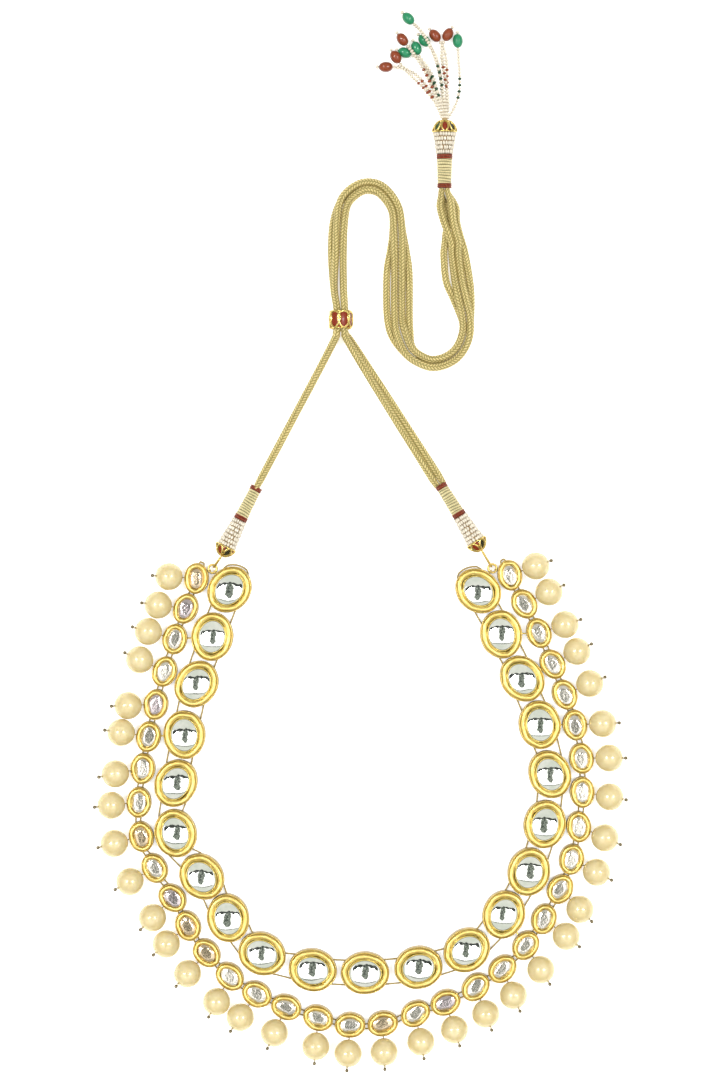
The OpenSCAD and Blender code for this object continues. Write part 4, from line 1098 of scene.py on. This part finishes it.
# How far the core lies under the cone, and its colour: the thread's tan, deepened as painted shade between
# the beads.
CORE_GAP, CORE_THREAD_SHADE_COLOR = 0.85, (0.46, 0.33, 0.17)
RED_ENAMEL, GREEN_ENAMEL, DARK_ENAMEL = (0.25, 0.032, 0.012), (0.035, 0.09, 0.025), (0.03, 0.03, 0.015)
SIDE_ENAMELS = (RED_ENAMEL, DARK_ENAMEL)
TASSEL_ENAMELS = (RED_ENAMEL, GREEN_ENAMEL, RED_ENAMEL, DARK_ENAMEL)
CAP_LOOPS = {"side": (6, 0.42, 84), "tassel": (8, 0.34, 68)}  # loops, their wire, degrees up the dome
ENAMEL_DEPTH, LOOP_DEPTH = 0.3, 0.12  # how far enamel and wires lie under the cap's full size
FOOT_WIRE, COLLAR_WIRE, CAP_RING_WIRE = 0.24, 0.34, 0.29
SLIDER_BULGE = 0.5  # how much farther the slider reaches at its middle than at its ends
SLIDER_LOOPS = (7, 0.42, 0.1, 1.45)  # loops, their wire, where the first one stands and their width


def placed_along(name, surface, from_start):
    """A surface that stands on Z, put on a terminal's axis at a distance from its first band."""
    turn, _, at = terminal(name)
    return surface.at(turn[None], [at(from_start)])


def ridged(radius_low, radius_high, length, pitch, depth, rng):
    """Turns of thread on a cone: the radius swells by |sin(pi p)|, with p the height in pitches plus the
    turn's share, so that the ridge climbs as a screw."""
    z = np.linspace(0, length, int(length / pitch * ROWS_A_TURN))[:, None]
    t = round_turn(RIDGE_SIDES)
    wander = 0.12 * np.sin(z * 1.3 + rng.uniform(0, 6)) + 0.08 * np.sin(2 * t + z * 0.7 + rng.uniform(0, 6))
    p = z / pitch + t / (2 * np.pi) + wander
    ridge = np.abs(np.sin(np.pi * p))
    base = radius_low + (radius_high - radius_low) * z / length
    r = base - depth + depth * ridge
    points = np.stack([r * np.cos(t), r * np.sin(t), z + 0 * t], -1)
    turns = np.stack([t + 0 * z + p * 0.3, p, 0 * p], -1)
    # Painted glints: short bright spots along each turn, held only in the stitch value, which also paints
    # highlight on the ridges and shade between.
    ply_glints = 0.78 + 0.22 * np.cos(PLY_GLINTS * t + 2.2 * np.floor(p))
    return grid(points, stitch=ridge ** 0.7 * ply_glints, turns=turns)


def make_windings(look):
    """Each terminal's winding of metal thread and its two red thread bands."""
    bright, gaps, red = (colour(c) for c in (look.winding_color, look.winding_gap_shade_color, look.red_color))
    # Painted light and shade: each thread is lighter on its ridges and darker between, the red down to a
    # fifth of its colour.
    zari = cached("wound_zari", zari_material, bright, gaps, 6.0)
    silk = cached("red_silk", zari_material, red, tuple(c * 0.2 for c in red), 4.0, 0.0)
    for k, (name, (_, (neck, waist, _, winding, _))) in enumerate(TERMINALS.items()):
        rng = np.random.default_rng(500 + k)
        body = ridged(neck / 2, waist / 2, winding, *WINDING_TURN, rng)
        body = placed_along(name, body, BAND_LENGTH + SEAT_GAP)
        make_piece(f"winding_{name}", body, zari, "windings")
        bands = []
        for width, start in ((neck, 0.0), (waist, BAND_LENGTH + winding + 2 * SEAT_GAP)):
            r = width / 2 + BAND_RISE
            bands.append(placed_along(name, ridged(r, r, BAND_LENGTH, *BAND_TURN, rng), start))
        make_piece(f"bands_{name}", joined(bands), silk, "red_bands")


def seed_bead():
    """One seed bead of width 1 and length 1: a rounded barrel with a dimple at each end."""
    profile = np.array([(0.1, -0.36), (0.18, -0.48), (0.29, -0.41), (0.425, -0.25), (0.5, 0.0),
                        (0.425, 0.25), (0.29, 0.41), (0.18, 0.48), (0.1, 0.36)])
    return turned(profile, 10)


def beads(turns, places, sizes, tints):
    """Seed beads at given turns and places, each (width, length) and tint its own."""
    bead = seed_bead()
    turns = np.asarray(turns) * np.asarray(sizes)[:, [0, 0, 1]][:, None, :]
    made = bead.at(turns, places)
    made.values = {"tint": np.repeat(np.asarray(tints, float), len(bead.points), 0)}
    return made


def bead_glaze():
    """The glaze of all seed beads."""
    return cached("seed_bead_glaze", tinted_material, 0.25, 0.004, 1.2, coat=1.0,
                  coat_tint=(0.85, 0.80, 0.71), shade=0.1)


def bead_tints(white, rng, count):
    """The white of each bead, a little lighter or darker than the next one's."""
    return np.clip(white * rng.normal(1, 0.05, (count, 1)), 0, 1)


def make_bead_cones(look):
    """Each terminal's cone of seed beads, laid in rows round a core like bricks, half a bead apart."""
    white = np.array(colour(look.seed_color))
    size = look.seed_size / MM
    for k, (name, (_, (_, waist, cap, winding, cone))) in enumerate(TERMINALS.items()):
        rng = np.random.default_rng(600 + k)
        rows = int(round(cone / (size * ROW_ROOM)))
        count = int(round(np.pi * (waist + cap) / 2 / (size * BEAD_ROOM)))
        z, j = np.meshgrid((np.arange(rows) + 0.5) * cone / rows, np.arange(count), indexing="ij")
        odd = np.arange(rows)[:, None] % 2
        angle = (j + 0.5 * odd) * 2 * np.pi / count + rng.normal(0, 0.03, j.shape)
        low, high = waist / 2 + CONE_FOOT, cap / 2 - CONE_HEAD
        reach = low + (high - low) * z / cone
        width = 2 * np.pi * reach / count
        r = (reach - width * BEAD_SINK).ravel()
        lean = math.atan((high - low) / cone)
        c, s = np.cos(angle).ravel(), np.sin(angle).ravel()
        axis = np.stack([c * math.sin(lean), s * math.sin(lean), np.full(c.size, math.cos(lean))], -1)
        places = np.stack([r * c, r * s, z.ravel() + rng.normal(0, 0.04, c.size)], -1)
        sizes = np.stack([width.ravel() * BEAD_WIDTH, np.full(c.size, cone / rows * BEAD_LENGTH)], -1)
        laid = beads(frames_to(axis), places, sizes, bead_tints(white, rng, c.size))
        # A core in thread colour and painted shade, seen in the gaps between beads.
        core_z = np.linspace(0, cone, 12)
        core = turned(np.stack([low + (high - low) * core_z / cone - CORE_GAP, core_z], 1), 24)
        start = 2 * BAND_LENGTH + winding + 3 * SEAT_GAP
        shape = placed_along(name, joined([laid, painted(core, CORE_THREAD_SHADE_COLOR)]), start)
        make_piece(f"cone_{name}", shape, bead_glaze(), "bead_cones")


def petal_wires(count, around, wire_r, phase=0.0, width=1.02):
    """Wire loops on a surface of revolution: round each loop, q, the turn goes out by sin q of half a
    petal and the place along the profile by (1 - cos q) / 2; around(turn, place) gives point and normal."""
    loops = []
    q = round_turn(28)
    place = (1 - np.cos(q)) / 2
    half = np.pi / count * width
    for k in range(count):
        turn = (k + phase) * 2 * np.pi / count + half * np.sin(q) * (0.62 + 0.38 * place)
        points, normals = around(turn, place)
        loops.append(tube(points, wire_r, 8, up=normals, closed=True))
    return loops


def enamel_material(name):
    """Glossy enamel and gold wire in one finish, told apart by the points' metal value."""
    material, tree = start_material(name)
    grain = noise(tree, coordinates(tree), 2.5, 3)
    base = mixed(tree, maths(tree, "MULTIPLY", grain, 0.3), attribute(tree, "tint", "Color"),
                 (0.5, 0.45, 0.4), "MULTIPLY")
    finish_material(
        tree, Base_Color=base, Metallic=attribute(tree, "metal"),
        Roughness=spread(tree, grain, 0.3, 0.7, 0.18, 0.32), Specular_IOR_Level=0.35,
        Normal=bumped(tree, grain, 0.015),
    )
    return material


def enamel_shell(profile, count, palette, columns=56):
    """The enamelled body under the wires: its fields take the palette's colours in turn."""
    shell = turned(profile, columns)
    field = np.floor(np.arange(columns) / columns * count + 0.5).astype(int) % count
    tint = np.tile(np.array(palette)[field % len(palette)], (len(profile), 1))
    shell.values = {
        "tint": np.concatenate([tint, [DARK_ENAMEL, DARK_ENAMEL]]),
        "metal": np.zeros(len(shell.points)),
    }
    return shell


def make_caps(look):
    """End caps: an enamelled dome under petals of gold wire, a wire at its foot and a collar at its top.
    The side caps carry a ring, and the tassel's collar is open for the strings."""
    material = cached("enamel_and_wire", enamel_material)
    gold = colour(look.gold_color)
    for name, (_, (_, _, cap, winding, cone)) in TERMINALS.items():
        ball = cap / 2
        kind = "tassel" if name == "tassel" else "side"
        count, wire, top = CAP_LOOPS[kind]
        steps = np.radians(np.linspace(0, top, 12))
        profile = (ball - ENAMEL_DEPTH) * np.stack([np.cos(steps), np.sin(steps)], 1)

        def around(turn, place, ball=ball, top=top):
            rise = np.radians(3 + (top - 8) * place)
            normal = np.stack([np.cos(turn) * np.cos(rise), np.sin(turn) * np.cos(rise), np.sin(rise)], -1)
            return (ball - LOOP_DEPTH) * normal, normal

        collar = math.radians(top - 4)
        collar_r, collar_z = (ball - 0.15) * math.cos(collar), (ball - 0.15) * math.sin(collar)
        wires = petal_wires(count, around, wire)
        wires.append(torus(ball - 0.22, FOOT_WIRE, np.eye(3), (0, 0, 0.12), 8, 56))
        wires.append(torus(max(collar_r, 0.5), COLLAR_WIRE, np.eye(3), (0, 0, collar_z), 8, 32))
        if kind == "side":
            wires.append(torus(CAP_RING_R, CAP_RING_WIRE, frames(0.0), (0, 0, ball + CAP_RING_R - 0.25)))
        shell = enamel_shell(profile, count, SIDE_ENAMELS if kind == "side" else TASSEL_ENAMELS)
        shape = joined([shell] + [painted(wire, gold, metal=1.0) for wire in wires])
        shape = placed_along(name, shape, 2 * BAND_LENGTH + winding + cone + 4 * SEAT_GAP)
        make_piece(f"cap_{name}", shape, material, "end_caps")


def make_slider(look):
    """The slider bead: an enamelled barrel, open for the cords, under petals of gold wire. Its side is an
    arc of radius R: half the width less R, plus sqrt(R^2 - y^2)."""
    width, length, hole = SLIDER_SIZE
    arc_r = (length ** 2 / 4 + SLIDER_BULGE ** 2) / (2 * SLIDER_BULGE)
    y = np.linspace(-length / 2, length / 2, 15)
    outer = width / 2 - ENAMEL_DEPTH - arc_r + np.sqrt(arc_r ** 2 - y ** 2)
    inner = np.stack([np.full(5, hole / 2), np.linspace(length / 2, -length / 2, 5)], 1)
    profile = np.concatenate([np.stack([outer, y], 1), inner])
    body = painted(turned(profile, 64, close_rows=True), RED_ENAMEL, metal=0.0)

    def around(turn, place):
        y = (place - 0.5) * (length - 0.7)
        r = width / 2 - 0.2 - arc_r + np.sqrt(arc_r ** 2 - y ** 2)
        normal = np.stack([np.cos(turn), np.sin(turn), 0 * turn], -1)
        return normal * r[:, None] + np.stack([0 * y, 0 * y, y], -1), normal

    count, wire, phase, spread_out = SLIDER_LOOPS
    wires = petal_wires(count, around, wire, phase, spread_out)
    for end in (-1, 1):
        wires.append(torus(width / 2 - 0.75, 0.26, np.eye(3), (0, 0, end * (length / 2 - 0.2)), 8, 48))
    gold = [painted(wire, colour(look.gold_color), metal=1.0) for wire in wires]
    bead = joined([body] + gold).at(frames(90.0), SLIDER_PLACE)
    make_piece("slider_bead", bead, cached("enamel_and_wire", enamel_material), "slider")


# Tassel

STRING_BEAD, STRING_PITCH = (1.55, 1.02), 1.16  # width and length of a bead, and room for it
STOP_BEAD, STOP_REACH = (1.5, 1.15), 0.45
THREAD_R, THREAD_COLOR, HEAD_COLOR = 0.16, (0.62, 0.52, 0.36), (0.60, 0.46, 0.28)
FOOT_R, FOOT_RISE = 1.7, 0.75  # where the strings leave the cap
HEAD_PROFILE = np.array([(0.6, 0.9), (1.3, 1.0), (1.45, 2.4), (1.3, 4.0), (0.9, 4.9), (0.3, 5.3)])


def flat_way(degrees):
    """The level direction of a heading."""
    a = np.radians(degrees)
    return np.array([np.cos(a), np.sin(a), 0.0])


def string_path(k):
    """A tassel string's cubic curve from the cap's mouth to its oval bead, and the bead's own direction."""
    x, y, z, bead_way, head_way, head_reach, bead_reach, lift, _ = TASSEL_ROWS[k]
    _, total, at = terminal("tassel")
    cap = TERMINALS["tassel"][1][2]
    foot = at(total + math.sqrt((cap / 2) ** 2 - FOOT_R ** 2))
    way = flat_way(bead_way)
    low = np.array([x, y, z]) - (OVAL_LENGTH / 2 + BEAD_GAP) * way
    start = foot + (STRING_STEP * (k - (len(TASSEL_ROWS) - 1) / 2), FOOT_RISE, 0)
    q = start + head_reach * flat_way(head_way) - (0, 0, 1)
    r = low - bead_reach * way + (0, 0, lift)
    t = np.linspace(0, 1, 60)[:, None]
    curve = (1 - t) ** 3 * start + 3 * (1 - t) ** 2 * t * q + 3 * (1 - t) * t ** 2 * r + t ** 3 * low
    return curve, way


def make_tassel_strings(look):
    """Ten strings of seed beads on a thread, fanned out from the cap's mouth; four beads midway take
    turns of colour, and a pale bead stops each end."""
    white, red, green = (np.array(colour(c)) for c in (look.seed_color, look.brown_color, look.green_color))
    shapes = []
    for k in range(len(TASSEL_ROWS)):
        rng = np.random.default_rng(700 + k)
        curve, way = string_path(k)
        count = int(path_length(curve) / STRING_PITCH)
        centres = resampled(curve, path_length(curve) / count)
        tangents = unit(np.diff(centres, axis=0))
        tints = bead_tints(white, rng, count)
        first = int(count * (0.31 + 0.05 * (k % 3)))
        tints[first:first + 8:2] = green * 0.13 if TASSEL_ROWS[k, -1] else red * 0.6
        sizes = STRING_BEAD * rng.normal(1, 0.04, (count, 1))
        tip = curve[-1] + (OVAL_LENGTH + 2 * BEAD_GAP + STOP_REACH) * way
        thread = tube(resampled(np.concatenate([curve, [tip + 0.35 * way]]), 1.0), THREAD_R, 6)
        shapes += [
            beads(frames_to(tangents), (centres[1:] + centres[:-1]) / 2, sizes, tints),
            beads(frames_to(way), [tip], [STOP_BEAD], [white * 0.95]),
            painted(thread, THREAD_COLOR),
        ]
    turn, total, at = terminal("tassel")
    shapes.append(painted(turned(HEAD_PROFILE, 20), HEAD_COLOR).at(turn, at(total)))
    make_piece("tassel_string_beads", joined(shapes), bead_glaze(), "tassel_strings")


def make_oval_beads(look):
    """Ten oval beads, brown-red or green: ellipsoids drilled end to end, blunt at the holes."""
    t = np.linspace(0.1, np.pi - 0.1, 20)
    profile = np.stack([OVAL_WIDTH / 2 * np.sin(t) ** 0.92, -OVAL_LENGTH / 2 * np.cos(t)], 1)
    bead = turned(profile, 28)
    made = bead.at(frames(TASSEL_ROWS[:, 3]), TASSEL_ROWS[:, :3])
    tints = [colour(look.green_color) if row[-1] else colour(look.brown_color) for row in TASSEL_ROWS]
    made.values = {"tint": np.repeat(np.array(tints), len(bead.points), 0)}
    material = cached("polished_beads", tinted_material, 0.25, 0.03, 0.8, coat=1.0,
                      coat_tint=(0.55, 0.55, 0.55), shade=0.4)
    make_piece("oval_tassel_beads", made, material, "tassel_beads")


# Operators and panel

class NECKLACE_OT_stage(bpy.types.Operator):
    """Makes the table, the light and the camera"""
    bl_idname = "necklace.stage"
    bl_label = "Stage and camera"

    def execute(self, context):
        make_stage(context.scene.necklace_look)
        return {"FINISHED"}


class NECKLACE_OT_cords(bpy.types.Operator):
    """Makes the four braided cords"""
    bl_idname = "necklace.cords"
    bl_label = "Braided cords"

    def execute(self, context):
        make_cords(context.scene.necklace_look)
        return {"FINISHED"}


class NECKLACE_OT_main_settings(bpy.types.Operator):
    """Makes the 21 large gold rims"""
    bl_idname = "necklace.main_settings"
    bl_label = "Large gold rims"

    def execute(self, context):
        make_main_settings(context.scene.necklace_look)
        return {"FINISHED"}


class NECKLACE_OT_main_stones(bpy.types.Operator):
    """Makes the 21 domed stones"""
    bl_idname = "necklace.main_stones"
    bl_label = "Domed stones"

    def execute(self, context):
        make_main_stones(context.scene.necklace_look)
        return {"FINISHED"}


class NECKLACE_OT_outer_settings(bpy.types.Operator):
    """Makes the 36 small gold rims"""
    bl_idname = "necklace.outer_settings"
    bl_label = "Small gold rims"

    def execute(self, context):
        make_outer_settings(context.scene.necklace_look)
        return {"FINISHED"}


class NECKLACE_OT_outer_stones(bpy.types.Operator):
    """Makes the 36 small cut stones"""
    bl_idname = "necklace.outer_stones"
    bl_label = "Small cut stones"

    def execute(self, context):
        make_outer_stones(context.scene.necklace_look)
        return {"FINISHED"}


class NECKLACE_OT_pearls(bpy.types.Operator):
    """Makes the pearls"""
    bl_idname = "necklace.pearls"
    bl_label = "Pearls"

    def execute(self, context):
        make_pearls(context.scene.necklace_look)
        return {"FINISHED"}


class NECKLACE_OT_head_pins(bpy.types.Operator):
    """Makes the pins that carry the pearls"""
    bl_idname = "necklace.head_pins"
    bl_label = "Head pins"

    def execute(self, context):
        make_head_pins(context.scene.necklace_look)
        return {"FINISHED"}


class NECKLACE_OT_links(bpy.types.Operator):
    """Makes the end links and finishes the row threads and ties"""
    bl_idname = "necklace.links"
    bl_label = "Links and threads"

    def execute(self, context):
        make_links(context.scene.necklace_look)
        return {"FINISHED"}


class NECKLACE_OT_windings(bpy.types.Operator):
    """Makes the metal-thread windings and the red bands"""
    bl_idname = "necklace.windings"
    bl_label = "Windings and bands"

    def execute(self, context):
        make_windings(context.scene.necklace_look)
        return {"FINISHED"}


class NECKLACE_OT_bead_cones(bpy.types.Operator):
    """Makes the cones of seed beads"""
    bl_idname = "necklace.bead_cones"
    bl_label = "Bead cones"

    def execute(self, context):
        make_bead_cones(context.scene.necklace_look)
        return {"FINISHED"}


class NECKLACE_OT_caps(bpy.types.Operator):
    """Makes the enamelled end caps"""
    bl_idname = "necklace.caps"
    bl_label = "End caps"

    def execute(self, context):
        make_caps(context.scene.necklace_look)
        return {"FINISHED"}


class NECKLACE_OT_slider(bpy.types.Operator):
    """Makes the slider bead"""
    bl_idname = "necklace.slider"
    bl_label = "Slider bead"

    def execute(self, context):
        make_slider(context.scene.necklace_look)
        return {"FINISHED"}


class NECKLACE_OT_tassel(bpy.types.Operator):
    """Makes the tassel's strings and oval beads"""
    bl_idname = "necklace.tassel"
    bl_label = "Tassel"

    def execute(self, context):
        make_tassel_strings(context.scene.necklace_look)
        make_oval_beads(context.scene.necklace_look)
        return {"FINISHED"}


class NECKLACE_OT_declare_cords(bpy.types.Operator):
    """Works out each cord's length and lists what is on it, without using either"""
    bl_idname = "necklace.declare_cords"
    bl_label = "Declare the cords"

    def execute(self, context):
        declare_cords()
        return {"FINISHED"}


STEPS = (
    NECKLACE_OT_stage, NECKLACE_OT_cords, NECKLACE_OT_main_settings, NECKLACE_OT_main_stones,
    NECKLACE_OT_outer_settings, NECKLACE_OT_outer_stones, NECKLACE_OT_pearls, NECKLACE_OT_head_pins,
    NECKLACE_OT_links, NECKLACE_OT_windings, NECKLACE_OT_bead_cones, NECKLACE_OT_caps,
    NECKLACE_OT_slider, NECKLACE_OT_tassel, NECKLACE_OT_declare_cords,
)


class NECKLACE_PT_panel(bpy.types.Panel):
    """The necklace's sizes, colours and steps"""
    bl_idname = "NECKLACE_PT_panel"
    bl_label = "Kundan Necklace"
    bl_space_type = "VIEW_3D"
    bl_region_type = "UI"
    bl_category = "Necklace"

    def draw(self, context):
        look = context.scene.necklace_look
        for name in look.__annotations__:
            self.layout.prop(look, name)
        for step in STEPS:
            self.layout.operator(step.bl_idname)


def register():
    """Registers the settings, the steps and the panel."""
    for made in (NecklaceLook, *STEPS, NECKLACE_PT_panel):
        bpy.utils.register_class(made)
    bpy.types.Scene.necklace_look = bpy.props.PointerProperty(type=NecklaceLook)


def unregister():
    """Takes them out again."""
    del bpy.types.Scene.necklace_look
    for made in reversed((NecklaceLook, *STEPS, NECKLACE_PT_panel)):
        bpy.utils.unregister_class(made)


def main():
    register()
    for step in STEPS:
        group, call = step.bl_idname.split(".")
        getattr(getattr(bpy.ops, group), call)()


if __name__ == "__main__":
    main()
